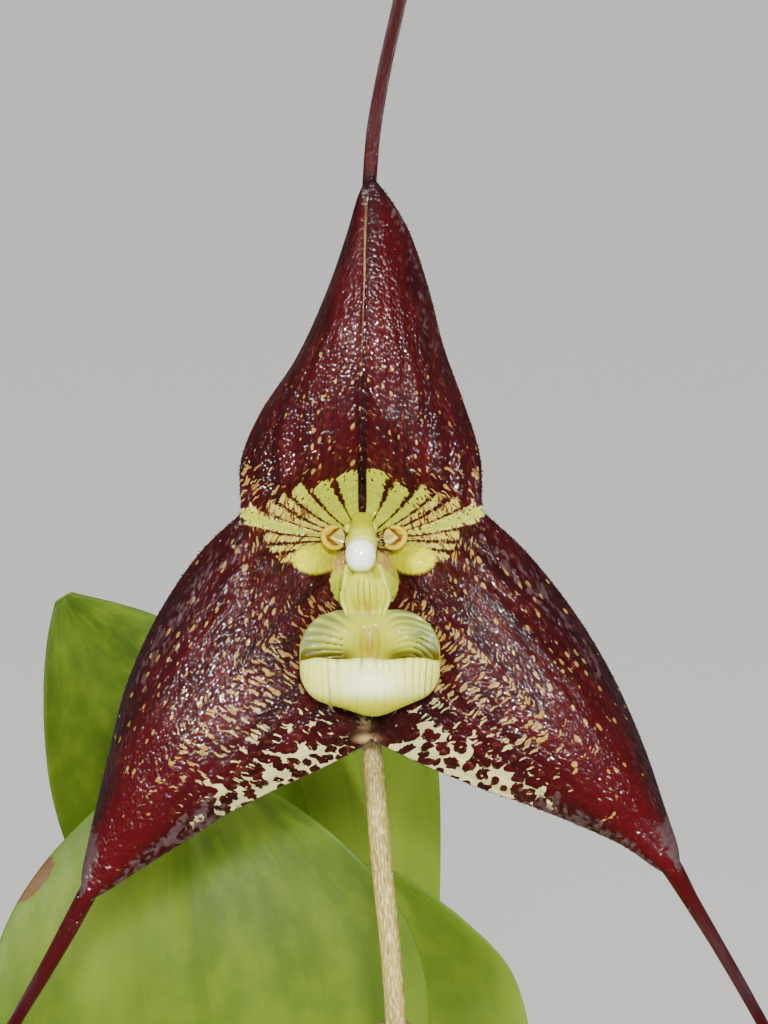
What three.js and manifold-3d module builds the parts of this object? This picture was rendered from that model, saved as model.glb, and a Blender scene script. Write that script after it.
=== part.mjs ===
// A potted orchid, Dracula ubangina: a tapered clay pot of moss, a tuft of strap leaves on sheathed stems,
// and one long-tailed flower on its own stalk. Millimetres, +Z up, the pot's flat foot centred on the origin.
// The flower looks along -Y and a little upwards.
import * as THREE from "three";
import { mergeVertices } from "three/addons/utils/BufferGeometryUtils.js";
import Module from "manifold-3d";

const wasm = await Module();
wasm.setup();

// Driving dimensions
const GAP = 0.3; // clearance between pieces that touch
const POT = { topRadius: 55, footRadius: 38, height: 92, wall: 4.5, floor: 6, rimHeight: 17, rimProud: 3 };
const DRAIN = { radius: 5, circle: 21, count: 3 };
const MOSS_TOP = 83; // height of the moss where it meets the pot
const MOSS_DOME = 4; // rise of the moss at the middle
const FLOWER = { centre: [-6, -52, 262], tilt: THREE.MathUtils.degToRad(10) };
const NOTCH = 0.36; // share of a sepal's length that is joined to its neighbours
const SEPAL_HALF = 0.32;
const SHELL_HALF = 0.3; // half thickness of the thin shells
const LEAF_HALF = 0.42;
const ROOT_RADIUS = 1.1;
const ROOT_GAP = 0.5; // clearance of the roots in the moss
const RHIZOME_RADIUS = 2.2;
const RHIZOME_HEIGHT = 81.5;
const PEDICEL_RADIUS = 0.9;
const STALK_RADIUS = 0.95;
const SOCKET = { radius: 2.7, height: 16 }; // hole in the moss round each stem
const BRACT_LENGTH = 10.5;
const CAP = { centre: [0, -0.35, 2.1], radii: [1.42, 1.75, 1.35] };
const LIP = {
  centre: [0.67, -9, 3.6], // middle of the pouch's mouth, between its two corners
  halfWidth: 5.75,
  lobeSquareness: 3.6, // how square the outline is, at the lobes above and the chin below
  chinSquareness: 2.1,
  cornerKeep: 0.12,
  ribs: 19,
  ribHeight: 0.1,
  // outline down the middle, from the back plate round the pouch to its front rim, as [y, z]
  profile: [[-5.15, 2.2], [-7.5, 2.6], [-9.5, 2.4], [-12, 2.4], [-13.4, 3.4], [-13.2, 4.8], [-11.5, 6], [-9.6, 6.2],
    [-9.15, 5.9]],
  base: [[-2.2, -0.25], [-3.2, 0.4], [-4.4, 1.2], [-5.4, 1.9], [-6.2, 2.3]],
  baseHalfWidths: [1.45, 1.95, 2.15, 1.95, 1.8],
};

// Colours
const CLAY = new THREE.MeshStandardMaterial({ color: "#b5694a", roughness: 0.9 });
const MOSS = new THREE.MeshStandardMaterial({ color: "#a49a63", roughness: 1 });
const RHIZOME = new THREE.MeshStandardMaterial({ color: "#cfc7a4", roughness: 0.8 });
const SHEATH = new THREE.MeshStandardMaterial({ color: "#9c8a5a", roughness: 0.85 });
const LEAF = new THREE.MeshStandardMaterial({ color: "#7d9137", roughness: 0.42 });
const STALK = new THREE.MeshStandardMaterial({ color: "#a99a63", roughness: 0.75 });
const BRACT = new THREE.MeshStandardMaterial({ color: "#b8a772", roughness: 0.8 });
const MAROON = new THREE.MeshStandardMaterial({ color: "#5f1414", roughness: 0.4 });
const PETAL = new THREE.MeshStandardMaterial({ color: "#e3b45f", roughness: 0.45 });
const COLUMN = new THREE.MeshStandardMaterial({ color: "#e3e06a", roughness: 0.4 });
const ANTHER = new THREE.MeshStandardMaterial({ color: "#f7f6e6", roughness: 0.3 });
const LIP_SKIN = new THREE.MeshStandardMaterial({ color: "#f3ee9c", roughness: 0.4 });

// Small sums
const vector = ([x, y, z]) => new THREE.Vector3(x, y, z);
const curve = (points) => new THREE.CatmullRomCurve3(points.map(vector), false, "catmullrom", 0.5);
const smoothstep = THREE.MathUtils.smoothstep;
const mix = THREE.MathUtils.lerp;
const bell = (x, width) => Math.exp(-((x / width) ** 2));
const steps = (from, to, count) => Array.from({ length: count + 1 }, (_, i) => mix(from, to, i / count));

// A closed skin over a stack of rings. Points j and count - j of a ring face each other across it,
// so that both faces of a thin blade are split into triangles alike and its two ends close like a ladder.
function skin(rings) {
  const count = rings[0].length;
  const half = count / 2;
  const index = [];
  for (let i = 0; i + 1 < rings.length; i++)
    for (let j = 0; j < count; j++) {
      const next = (j + 1) % count;
      const [a, b, c, d] = [i * count + j, i * count + next, (i + 1) * count + next, (i + 1) * count + j];
      if (j < half) index.push(a, b, c, a, c, d);
      else index.push(a, b, d, b, c, d);
    }
  const close = (first, flip) => {
    const add = (a, b, c) => index.push(...(flip ? [c, b, a] : [a, b, c]).map((k) => first + k));
    add(0, count - 1, 1);
    for (let j = 1; j + 1 < half; j++) {
      add(j, count - j, count - j - 1);
      add(j, count - j - 1, j + 1);
    }
    add(half - 1, half + 1, half);
  };
  close(0, false);
  close((rings.length - 1) * count, true);
  const geometry = new THREE.BufferGeometry().setFromPoints(rings.flat());
  geometry.setIndex(index);
  return facingOut(geometry);
}

// Turns every triangle round if the closed skin faces inwards.
function facingOut(geometry) {
  const at = geometry.getAttribute("position");
  const index = geometry.index.array;
  const [a, b, c] = [new THREE.Vector3(), new THREE.Vector3(), new THREE.Vector3()];
  let volume = 0;
  for (let i = 0; i < index.length; i += 3) {
    a.fromBufferAttribute(at, index[i]);
    b.fromBufferAttribute(at, index[i + 1]);
    c.fromBufferAttribute(at, index[i + 2]);
    volume += a.dot(b.cross(c));
  }
  if (volume < 0) for (let i = 0; i < index.length; i += 3) [index[i], index[i + 1]] = [index[i + 1], index[i]];
  return geometry;
}

// A blade: surface(s, t) is its middle layer, s along it and t from -1 to 1 across it. half(s, t) is half its
// thickness, and sharpness(s) how its margin closes: near 0 blunt, 1 as a round section.
function blade({ surface, half, sharpness, rows, columns }) {
  const across = Array.from({ length: columns + 1 }, (_, j) => Math.cos((Math.PI * j) / columns));
  const grid = rows.map((s) => across.map((t) => surface(s, t)));
  const rings = rows.map((s, i) => {
    const ring = [];
    for (let j = 0; j < 2 * columns; j++) {
      const k = j <= columns ? j : 2 * columns - j;
      const along = grid[Math.min(i + 1, rows.length - 1)][k].clone().sub(grid[Math.max(i - 1, 0)][k]);
      const over = grid[i][Math.max(k - 1, 0)].clone().sub(grid[i][Math.min(k + 1, columns)]);
      const normal = over.cross(along).normalize();
      const lift = half(s, across[k]) * Math.sin((Math.PI * k) / columns) ** sharpness(s) * (j <= columns ? 1 : -1);
      ring.push(grid[i][k].clone().addScaledVector(normal, k % columns === 0 ? 0 : lift));
    }
    return ring;
  });
  return skin(rings);
}

// A round stem along a curve. radius(s, angle) may swell it or rib it.
function stem({ path, radius, sides, rows, side = [1, 0, 0] }) {
  const rings = rows.map((s) => {
    const centre = path.getPoint(s);
    const along = path.getTangent(s);
    const other = along.clone().cross(vector(side)).normalize();
    const first = other.clone().cross(along).normalize();
    return Array.from({ length: sides }, (_, j) => {
      const angle = (2 * Math.PI * j) / sides;
      const r = radius(s, angle);
      return centre.clone().addScaledVector(first, r * Math.cos(angle)).addScaledVector(other, r * Math.sin(angle));
    });
  });
  return skin(rings);
}

// Joining and cutting closed solids
function solid(geometry) {
  const bare = geometry.clone();
  bare.deleteAttribute("normal");
  bare.deleteAttribute("uv");
  const merged = mergeVertices(bare, 1e-4);
  return new wasm.Manifold(
    new wasm.Mesh({
      numProp: 3,
      vertProperties: merged.getAttribute("position").array,
      triVerts: new Uint32Array(merged.index.array),
    }),
  );
}

function geometryOf(manifold) {
  const made = manifold.getMesh();
  const geometry = new THREE.BufferGeometry();
  geometry.setAttribute("position", new THREE.BufferAttribute(made.vertProperties.slice(), 3));
  geometry.setIndex(new THREE.BufferAttribute(made.triVerts.slice(), 1));
  return geometry;
}

const union = (geometries) => geometries.map(solid).reduce((all, one) => all.add(one));

function named(name, geometry, material) {
  const mesh = new THREE.Mesh(geometry, material);
  mesh.name = name;
  geometry.computeVertexNormals();
  return mesh;
}

// Pot
const innerRadiusAt = (z) => mix(POT.footRadius, POT.topRadius, z / POT.height) - POT.wall;

function clayPot() {
  const rimFoot = POT.height - POT.rimHeight;
  const bodyAt = (z) => mix(POT.footRadius, POT.topRadius, z / POT.height);
  const round = 1.4; // worn edges
  const profile = [
    [0, 0],
    [POT.footRadius - round, 0],
    [POT.footRadius, round],
    [bodyAt(rimFoot), rimFoot],
    [bodyAt(rimFoot) + POT.rimProud, rimFoot + 1],
    [POT.topRadius + POT.rimProud - 0.4, POT.height - round],
    [POT.topRadius + POT.rimProud - round, POT.height],
    [innerRadiusAt(POT.height) + round, POT.height],
    [innerRadiusAt(POT.height), POT.height - round],
    [innerRadiusAt(POT.floor), POT.floor],
    [0, POT.floor],
  ];
  const body = new THREE.LatheGeometry(profile.map(([r, z]) => new THREE.Vector2(r, z)), 40).rotateX(Math.PI / 2);
  let pot = solid(body);
  for (let k = 0; k < DRAIN.count; k++) {
    const angle = (2 * Math.PI * (k + 0.25)) / DRAIN.count;
    const drill = new THREE.CylinderGeometry(DRAIN.radius, DRAIN.radius, 3 * POT.floor, 16).rotateX(Math.PI / 2);
    drill.translate(DRAIN.circle * Math.cos(angle), DRAIN.circle * Math.sin(angle), POT.floor / 2);
    pot = pot.subtract(solid(drill));
  }
  return geometryOf(pot);
}

// Leaves and their stems. Each stem stands at `foot`, and the leaf runs on from its top along `midrib`.
// `facing` is where the leaf's upper face looks, and `width` is its half width.
const LEAVES = [
  { foot: [-13, 9], facing: [0.05, -1, 0.2], width: 12.5, phase: 0.2,
    midrib: [[-9, 12, 126], [-11.5, 15, 160], [-18, 15, 195], [-26.5, 12, 226], [-37.1, 8, 246.2]] },
  { foot: [-5, 1], facing: [0.1, -1, 0.25], width: 21.6, phase: 0.6,
    midrib: [[-5, -1, 127], [-11, -3, 158], [-18.5, -8, 188], [-22, -10, 211], [-24.5, -5, 233]] },
  { foot: [1, 13], facing: [-0.15, -1, 0.2], width: 15.5, phase: 0.1,
    midrib: [[2, 16, 130], [-1, 22, 168], [-9, 25, 206], [-15, 23, 232], [-19, 18, 250]] },
  { foot: [10, 4], facing: [-0.1, -1, 0.2], width: 13, phase: 0.8,
    midrib: [[12, 5, 126], [9.5, 6, 155], [3, 7, 182], [-3.2, 6, 204], [-5.5, 4, 219]] },
  { foot: [19, 8], facing: [-0.75, -0.35, 1], width: 17, phase: 0.45,
    midrib: [[26, 9, 122], [40, 11, 150], [61, 13, 171], [85, 13, 180], [106, 11, 172]] },
  { foot: [17, -6], facing: [-0.5, 0.2, 1], width: 16, phase: 0.3,
    midrib: [[22, -10, 120], [34, -20, 147], [51, -33, 164], [70, -47, 166], [86, -60, 154]] },
  { foot: [-17, -3], facing: [0.6, 0.1, 1], width: 16.5, phase: 0.9,
    midrib: [[-23, -6, 120], [-38, -10, 147], [-58, -17, 167], [-80, -24, 172], [-99, -31, 160]] },
  { foot: [-8, 21], facing: [0.25, -0.8, 1], width: 17, phase: 0.55,
    midrib: [[-10, 27, 124], [-15, 42, 158], [-21, 59, 184], [-27, 77, 199], [-31, 94, 201]] },
  { foot: [13, 20], facing: [-0.5, -0.6, 1], width: 16, phase: 0.15,
    midrib: [[17, 26, 122], [28, 42, 148], [41, 60, 164], [54, 79, 167], [65, 97, 157]] },
  { foot: [1, -7], facing: [0.2, 0.6, 1], width: 15, phase: 0.7,
    midrib: [[-3, -14, 118], [-10, -29, 138], [-20, -47, 151], [-32, -66, 152], [-44, -84, 141]] },
  { foot: [-11, 15], facing: [0.5, -0.2, 1], width: 16, phase: 0.35,
    midrib: [[-17, 19, 120], [-31, 28, 148], [-49, 37, 167], [-69, 45, 171], [-88, 52, 160]] },
];

function leafSurface({ midrib, facing, width, phase }) {
  const spine = curve(midrib);
  const front = vector(facing).normalize();
  return (s, t) => {
    const centre = spine.getPoint(s);
    const along = spine.getTangent(s);
    const across = along.clone().cross(front).normalize();
    const up = across.clone().cross(along);
    const spread = Math.max(0, Math.sin(Math.PI * Math.min(s, 1) ** 2.05)) ** 0.85;
    const petiole = 1.5 * (1 - smoothstep(s, 0.12, 0.4));
    const reach = Math.max(width * spread, petiole, 0.35);
    const channel = reach * mix(0.75, 0.16, smoothstep(s, 0.05, 0.45)) * Math.abs(t) ** 1.5;
    const wave = 0.9 * spread * Math.abs(t) ** 3 * Math.sin(2 * Math.PI * (2.6 * s + phase + 0.2 * Math.sign(t)));
    return centre.addScaledVector(across, reach * t).addScaledVector(up, channel + wave);
  };
}

function leaf(shape) {
  return blade({
    surface: leafSurface(shape),
    half: (s) => mix(1.15, LEAF_HALF, smoothstep(s, 0.02, 0.3)) * mix(1, 0.75, smoothstep(s, 0.85, 1)),
    sharpness: (s) => mix(0.9, 0.5, smoothstep(s, 0.05, 0.3)),
    rows: [...steps(0.004, 0.93, 11), 0.965, 0.992],
    columns: 6,
  });
}

// The leafy stem under a leaf, wrapped in three papery sheaths that flare a little at their mouths.
const SHEATH_MOUTHS = [0.3, 0.62, 0.93];

function sheathedRadius(s) {
  const core = 1.35;
  const mouth = SHEATH_MOUTHS.find((m) => s <= m);
  if (mouth === undefined) return core;
  const start = SHEATH_MOUTHS[SHEATH_MOUTHS.indexOf(mouth) - 1] ?? 0;
  return core + 0.35 + 0.55 * ((s - start) / (mouth - start)) ** 2;
}

function ramicaulPath({ foot, midrib }) {
  const [x, y] = foot;
  const top = vector(midrib[0]);
  const rise = vector(midrib[1]).sub(top).normalize();
  const end = top.clone().addScaledVector(rise, -GAP);
  const low = new THREE.Vector3(x, y, RHIZOME_HEIGHT + RHIZOME_RADIUS + 1.2 * GAP);
  const bend = new THREE.Vector3(x, y, mix(low.z, top.z, 0.4)).lerp(end, 0.25);
  return new THREE.CatmullRomCurve3([low, bend, end], false, "catmullrom", 0.5);
}

function ramicaul(shape) {
  const rows = [0, 0.12, ...SHEATH_MOUTHS.flatMap((m) => [m - 0.12, m, m + 0.005]), 1].sort((a, b) => a - b);
  return stem({ path: ramicaulPath(shape), radius: sheathedRadius, sides: 8, rows });
}

// Rhizome: a short creeping stem with branches, and the roots that run down from it into the moss.
const RHIZOME_RUNS = [
  [[-19, -4], [-13, 8], [-5, 2], [4, 5], [11, 3], [20, 8]],
  [[-13, 8], [-8, 21]],
  [[4, 5], [1, 13], [13, 20]],
  [[11, 3], [17, -6]],
  [[-5, 2], [1, -6], [7, -13]],
];
// each root's start and the way it heads, in degrees round from +X
const ROOTS = [[-16, 2, -160], [-9, 12, 130], [-2, -2, -110], [13, 0, -35], [18, 7, 15], [4, 14, 85], [2, -8, -80]];

// The curve through some points, with both ends drawn out by a little more.
function longerCurve(points, extra) {
  const list = points.map(vector);
  const drawOut = (end, next) => end.add(end.clone().sub(next).setLength(extra));
  drawOut(list[0], list[1]);
  drawOut(list.at(-1), list.at(-2));
  return new THREE.CatmullRomCurve3(list, false, "catmullrom", 0.5);
}

function rhizome(extra) {
  const runs = RHIZOME_RUNS.map((points) =>
    stem({
      path: longerCurve(points.map(([x, y]) => [x, y, RHIZOME_HEIGHT]), extra),
      radius: () => RHIZOME_RADIUS + extra,
      sides: 6,
      rows: steps(0, 1, 2 * (points.length - 1)),
      side: [0, 0, 1],
    }),
  );
  const roots = ROOTS.map(([x, y, heading], k) => {
    const angle = THREE.MathUtils.degToRad(heading);
    const out = (reach, z) => [x + reach * Math.cos(angle), y + reach * Math.sin(angle), z];
    const sway = 3 * Math.sin(2.4 * k);
    return stem({
      path: longerCurve([out(-1, 81.5), out(4, 78), out(8 + sway, 66), out(10 - sway, 50), out(13, 34)], extra),
      radius: (s) => ROOT_RADIUS * mix(1, 0.7, s) + extra,
      sides: 6,
      rows: steps(0, 1, 6),
      side: [-Math.sin(angle), Math.cos(angle), 0],
    });
  });
  return union([...runs, ...roots]);
}

// The pedicel, from the back of the flower down to its joint with the stalk, in the flower's frame.
const PEDICEL_POINTS = [[0, -0.1, -6.4], [0, -0.15, -7.6], [0.05, -1.8, -9.3], [0.2, -5.5, -10.3], [0.5, -11, -10.6],
  [0.8, -17.5, -10.8], [1.6, -27, -11.4], [2.75, -39.7, -12.8], [3.1, -50, -14.6]];
const bractJoint = () => vector(PEDICEL_POINTS.at(-1));
const jointRise = () => vector(PEDICEL_POINTS.at(-2)).sub(bractJoint()).normalize();

// Flower stalk, from the rhizome to that joint, with two papery bracts pressed to it.
const STALK_POINTS = [[7, -13, 84.2], [7, -14, 98], [6.2, -20, 122], [3.8, -31, 150], [0.5, -41, 175]];

function stalkPath(flower) {
  const belowJoint = (drop) => flower.localToWorld(bractJoint().addScaledVector(jointRise(), -drop));
  const points = [...STALK_POINTS.map(vector), belowJoint(12), belowJoint(GAP)];
  return new THREE.CatmullRomCurve3(points, false, "catmullrom", 0.5);
}

function stalkRadius(s) {
  const wrap = (from, to) => (s >= from && s <= to ? 0.3 + 0.35 * ((s - from) / (to - from)) : 0);
  return STALK_RADIUS + wrap(0, 0.14) + wrap(0.46, 0.56);
}

function stalk(flower) {
  const rows = [0, 0.07, 0.14, 0.145, ...steps(0.19, 0.44, 5), 0.455, 0.46, 0.56, 0.565, ...steps(0.6, 1, 8)];
  return stem({ path: stalkPath(flower), radius: stalkRadius, sides: 8, rows });
}

// Moss: a plug that fills the pot, lumpy on top, with plain holes for what stands in it.
function mossHeight(x, y) {
  const r = Math.hypot(x, y) / innerRadiusAt(MOSS_TOP);
  const lumps = 1.1 * Math.sin(0.23 * x + 1.3) * Math.cos(0.21 * y - 0.4) + 0.7 * Math.sin(0.41 * y + 0.19 * x);
  return MOSS_TOP + MOSS_DOME * (1 - r * r) + lumps * (1 - r ** 6);
}

function mossPlug(holes) {
  const around = 30;
  const radii = [0, 8, 16, 24, 32, 40, 46];
  const points = [];
  const index = [];
  const ring = (r, heightAt) => {
    for (let k = 0; k < around; k++) {
      const angle = (2 * Math.PI * k) / around;
      const [x, y] = [r * Math.cos(angle), r * Math.sin(angle)];
      points.push(new THREE.Vector3(x, y, heightAt(x, y)));
    }
  };
  const band = (inner, outer) => {
    for (let k = 0; k < around; k++) {
      const next = (k + 1) % around;
      index.push(inner + k, outer + k, outer + next, inner + k, outer + next, inner + next);
    }
  };
  points.push(new THREE.Vector3(0, 0, mossHeight(0, 0)));
  for (const r of radii.slice(1)) ring(r, mossHeight);
  ring(innerRadiusAt(MOSS_TOP - 2) - GAP - 0.2, () => MOSS_TOP - 2);
  ring(innerRadiusAt(POT.floor) - GAP - 0.2, () => POT.floor + GAP);
  for (let k = 0; k < around; k++) index.push(0, 1 + k, 1 + ((k + 1) % around));
  const rings = radii.length + 1;
  for (let i = 0; i + 1 < rings; i++) band(1 + i * around, 1 + (i + 1) * around);
  const foot = points.push(new THREE.Vector3(0, 0, POT.floor + GAP)) - 1;
  const last = 1 + (rings - 1) * around;
  for (let k = 0; k < around; k++) index.push(last + ((k + 1) % around), last + k, foot);
  const geometry = new THREE.BufferGeometry().setFromPoints(points);
  geometry.setIndex(index);
  return geometryOf(holes.reduce((left, hole) => left.subtract(hole), solid(facingOut(geometry))));
}

// Sepals, in the flower's frame: x to the right, y up and z towards the viewer. Three sepals meet along three
// seams that run out from the column. `spine` runs from the column to the apex and on down the tail.
const SEAMS = {
  left: curve([[-1.5, 0.75, -5.6], [-4.4, 1.2, -4.7], [-7.3, 1.9, -3.4], [-10.1, 2.9, -2.4]]),
  right: curve([[1.5, 0.75, -5.6], [4.4, 1.3, -4.7], [7.3, 2.1, -3.4], [10, 3.1, -2.4]]),
  below: curve([[0, -1.7, -5.6], [0.1, -5.5, -6.3], [0.3, -10.5, -5.6], [0.7, -14.2, -4.2], [0.9, -16.2, -3.4]]),
};

const SEPALS = {
  dorsal_sepal: {
    spine: [
      [0, 1.9, -5.6], [0, 4.6, -4.2], [0, 8.2, -1.6], [0.05, 12.5, 0.3],
      [0.2, 17.2, 1], [0.3, 22, 0.6], [0.35, 26.6, -0.7], [0.6, 30.6, -2.2],
      [1, 35.4, -3.4], [1.9, 40.6, -4.3], [3.1, 46, -4.6], [4.8, 54, -4],
      [6.6, 63, -2.2], [8, 73, 0.8], [8.6, 84, 5],
    ],
    seams: { minus: "left", plus: "right" },
    minus: [[-10.1, 2.9, -2.4], [-10.2, 7.2, -3.7], [-8.6, 11.3, -4.4], [-5.6, 15.8, -4], [-3.2, 20.8, -3.1],
      [-1.3, 26, -2.6], [0, 30.4, -2.2]],
    plus: [[10, 3.1, -2.4], [9.9, 7.6, -3.7], [8.6, 12, -4.4], [6.8, 17, -4.3], [5.5, 22, -3.8],
      [3.7, 27, -3.1], [1.2, 30.8, -2.2]],
    tail: [0.6, 0.62, 0.58, 0.58, 0.52, 0.46, 0.4, 0.3],
  },
  lateral_sepal_left: {
    spine: [
      [-1.25, -1.1, -5.6], [-3.6, -3.4, -3.6], [-7.2, -7.2, -0.4], [-11, -11.4, 1.4],
      [-14.7, -16, 2], [-17.9, -20.6, 1.4], [-20.6, -24.9, 0.1], [-22.85, -28.7, -1.4],
      [-24.7, -32.1, -2.3], [-26.9, -36, -2.9], [-29.6, -40.6, -3], [-34, -49, -2.2],
      [-38.6, -58, 0], [-42, -67, 3.4], [-44, -76, 8],
    ],
    seams: { minus: "below", plus: "left" },
    minus: [[0.9, -16.2, -3.4], [-2.8, -18.2, -3], [-7, -20.1, -2.3], [-11.4, -22.3, -1.7], [-15.3, -24.8, -1.5],
      [-19, -27.1, -1.5], [-22.2, -29.2, -1.5]],
    plus: [[-10.1, 2.9, -2.4], [-13.7, -0.5, -4.1], [-17.2, -5.6, -4.9], [-19.9, -11.6, -4.9], [-21.4, -17.6, -4.2],
      [-22.6, -23.2, -2.9], [-23.5, -28.2, -1.5]],
    tail: [0.82, 0.76, 0.64, 0.54, 0.5, 0.46, 0.4, 0.3],
  },
  lateral_sepal_right: {
    spine: [
      [1.25, -1.1, -5.6], [3.8, -3.4, -3.6], [7.6, -7, -0.4], [11.8, -10.9, 1.4],
      [16, -15, 2], [19.9, -19.2, 1.4], [23.1, -23, 0.1], [25.75, -26.5, -1.4],
      [27.6, -29.6, -2.3], [29.9, -33.4, -2.9], [33, -38.8, -3], [38, -48, -2.2],
      [42.6, -57, 0], [46, -66, 3.4], [48, -75, 8],
    ],
    seams: { minus: "right", plus: "below" },
    minus: [[10, 3.1, -2.4], [13.9, -0.5, -4.1], [17.9, -5.5, -4.9], [21.2, -11, -4.9], [23.8, -17, -4.2],
      [25.5, -22.3, -2.9], [26.6, -26, -1.5]],
    plus: [[0.9, -16.2, -3.4], [4.7, -18, -3], [9.3, -19.9, -2.3], [14.2, -21.6, -1.7], [18.7, -23.4, -1.5],
      [22.3, -25.1, -1.5], [24.9, -27, -1.5]],
    tail: [0.9, 0.68, 0.56, 0.5, 0.48, 0.44, 0.4, 0.3],
  },
};
const CHEEKS = [[-3.9, -1.1], [4.2, -1.1]]; // raised yellow swellings beside the column
const CROWN = 2.2; // how late the sepal falls away towards its margins

function alongList(values, share) {
  const at = Math.min(share, 1) * (values.length - 1);
  const low = Math.min(Math.floor(at), values.length - 2);
  return mix(values[low], values[low + 1], at - low);
}

function sepalSurface(sepal) {
  const spine = curve(sepal.spine);
  const margins = { minus: curve(sepal.minus), plus: curve(sepal.plus) };
  return (s, t) => {
    const centre = spine.getPoint(s / 2);
    if (s > 1) {
      const across = spine.getTangent(s / 2).cross(new THREE.Vector3(0, 0, 1)).normalize();
      return centre.addScaledVector(across, alongList(sepal.tail, s - 1) * t);
    }
    const side = t < 0 ? "minus" : "plus";
    const seam = SEAMS[sepal.seams[side]];
    const edge = s < NOTCH ? seam.getPoint(s / NOTCH) : margins[side].getPoint((s - NOTCH) / (1 - NOTCH));
    const share = Math.abs(t);
    const point = centre.clone().lerp(edge, share);
    point.z = mix(centre.z, edge.z, share ** CROWN);
    for (const [x, y] of CHEEKS) point.z += 1.1 * bell(Math.hypot(point.x - x, point.y - y), 1.35);
    return point;
  };
}

function sepal(shape) {
  const round = (s) => smoothstep(s, 0.84, 1.02);
  return blade({
    surface: withSeamGap(sepalSurface(shape)),
    half: (s) => mix(SEPAL_HALF, s > 1 ? alongList(shape.tail, s - 1) : shape.tail[0], round(s)),
    sharpness: (s) => mix(0.35, 1, round(s)),
    rows: [...steps(0, NOTCH, 5), ...steps(0.43, 1, 9), ...steps(1.07, 2, 12)],
    columns: 8,
  });
}

// Draws a sepal's joined edges in by half a gap, so that neighbours don't touch.
function withSeamGap(surface) {
  return (s, t) => {
    const point = surface(s, t);
    const pull = (1 - smoothstep(s, NOTCH, NOTCH + 0.06)) * Math.abs(t) ** 4;
    if (pull <= 0) return point;
    const inward = surface(s, 0).sub(point);
    return point.addScaledVector(inward.normalize(), pull * (GAP / 2 + 0.02));
  };
}

// Petals: two small straps that run forward beside the column. Each is curled to a trough that opens towards
// the column, and a small pad closes its end.
const PETALS = {
  petal_left: { side: -1, spine: [[-1.7, 0.75, -4.05], [-2.2, 0.75, -3.1], [-2.4, 0.85, -2], [-2.4, 0.9, -0.75]] },
  petal_right: { side: 1, spine: [[1.7, 0.75, -4.05], [2.3, 0.75, -3.1], [2.7, 0.85, -2], [2.75, 0.9, -0.75]] },
};

function petal({ side, spine }) {
  const path = curve(spine);
  const trough = blade({
    surface: (s, t) => {
      const angle = mix(0.7, 2.05, smoothstep(s, 0.1, 0.7)) * t;
      const reach = mix(0.5, 0.9, smoothstep(s, 0, 0.6));
      const [x, y] = [side * reach * Math.cos(angle), 1.05 * reach * Math.sin(angle)];
      return path.getPoint(s).add(new THREE.Vector3(x, y, 0));
    },
    half: (s) => mix(0.3, 0.2, smoothstep(s, 0.3, 0.8)),
    sharpness: () => 0.45,
    rows: steps(0, 1, 6),
    columns: 8,
  });
  const pad = new THREE.SphereGeometry(0.85, 8, 5).scale(1, 1, 0.5).translate(...spine.at(-1)).translate(0, 0, -0.5);
  return geometryOf(union([trough, pad]));
}

// Column: a stout arched club over the lip, with a foot that runs forward to the lip's hinge.
function columnBody(extra) {
  return stem({
    path: curve([[0, -0.1, -5.9], [0, 0.5, -4.2], [0, 1.8, -1.7], [0, 1.4, 0.4], [0, -0.1, 1.5]]),
    radius: (s) => alongList([0.95, 0.95, 1, 1.05, 1.35, 1.3], s) + extra,
    sides: 10,
    rows: steps(0, 1, 8),
  });
}

function column() {
  const foot = stem({
    path: curve([[0, 0, -4.6], [0, -1.6, -4], [0, -3.1, -2.9], [0.1, -4, -1.35]]),
    radius: (s) => mix(0.75, 0.6, s),
    sides: 8,
    rows: steps(0, 1, 5),
  });
  return geometryOf(union([columnBody(0), foot]));
}

// Anther cap: a rounded cap that hugs the column's end.
function antherCap() {
  const cap = new THREE.SphereGeometry(1, 14, 10).scale(...CAP.radii).translate(...CAP.centre);
  const seat = columnBody(GAP).translate(0, -0.8 * GAP, 0.6 * GAP);
  return geometryOf(solid(cap).subtract(solid(seat)));
}

// Lip: a narrow channelled base with two horns, and a round pouch like a cockle shell that is open in front.
function lipPouch() {
  const profile = curve(LIP.profile.map(([y, z]) => [LIP.centre[0], y, z]));
  const centre = vector(LIP.centre);
  const keepAt = (s, t) => {
    const squareness = mix(LIP.lobeSquareness, LIP.chinSquareness, smoothstep(s, 0.25, 0.6));
    return Math.max((1 - Math.abs(t) ** squareness) ** 0.42, LIP.cornerKeep);
  };
  return blade({
    surface: (s, t) => {
      const keep = keepAt(s, t);
      const point = centre.clone().lerp(profile.getPoint(s), keep);
      const wall = smoothstep(s, 0.42, 0.6);
      point.z += LIP.ribHeight * wall * keep * Math.cos(LIP.ribs * Math.acos(t));
      point.x += LIP.halfWidth * t;
      return point;
    },
    half: (s, t) => SHELL_HALF * Math.min(1, keepAt(s, t) / 0.35),
    sharpness: () => 0.4,
    rows: steps(0, 1, 11),
    columns: 2 * LIP.ribs,
  });
}

function lipBase() {
  const spine = curve(LIP.base.map(([y, z]) => [LIP.centre[0] - 0.4, y, z]));
  return blade({
    surface: (s, t) => {
      const horn = 0.9 * Math.abs(t) ** 3 * (1 - smoothstep(s, 0, 0.3));
      const point = spine.getPoint(s);
      point.x += alongList(LIP.baseHalfWidths, s) * t;
      point.y += horn;
      point.z += 0.8 * t * t + 0.6 * horn;
      return point;
    },
    half: () => 0.4,
    sharpness: () => 0.4,
    rows: steps(0, 1, 7),
    columns: 8,
  });
}

const lip = () => geometryOf(union([lipPouch(), lipBase()]));

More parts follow.
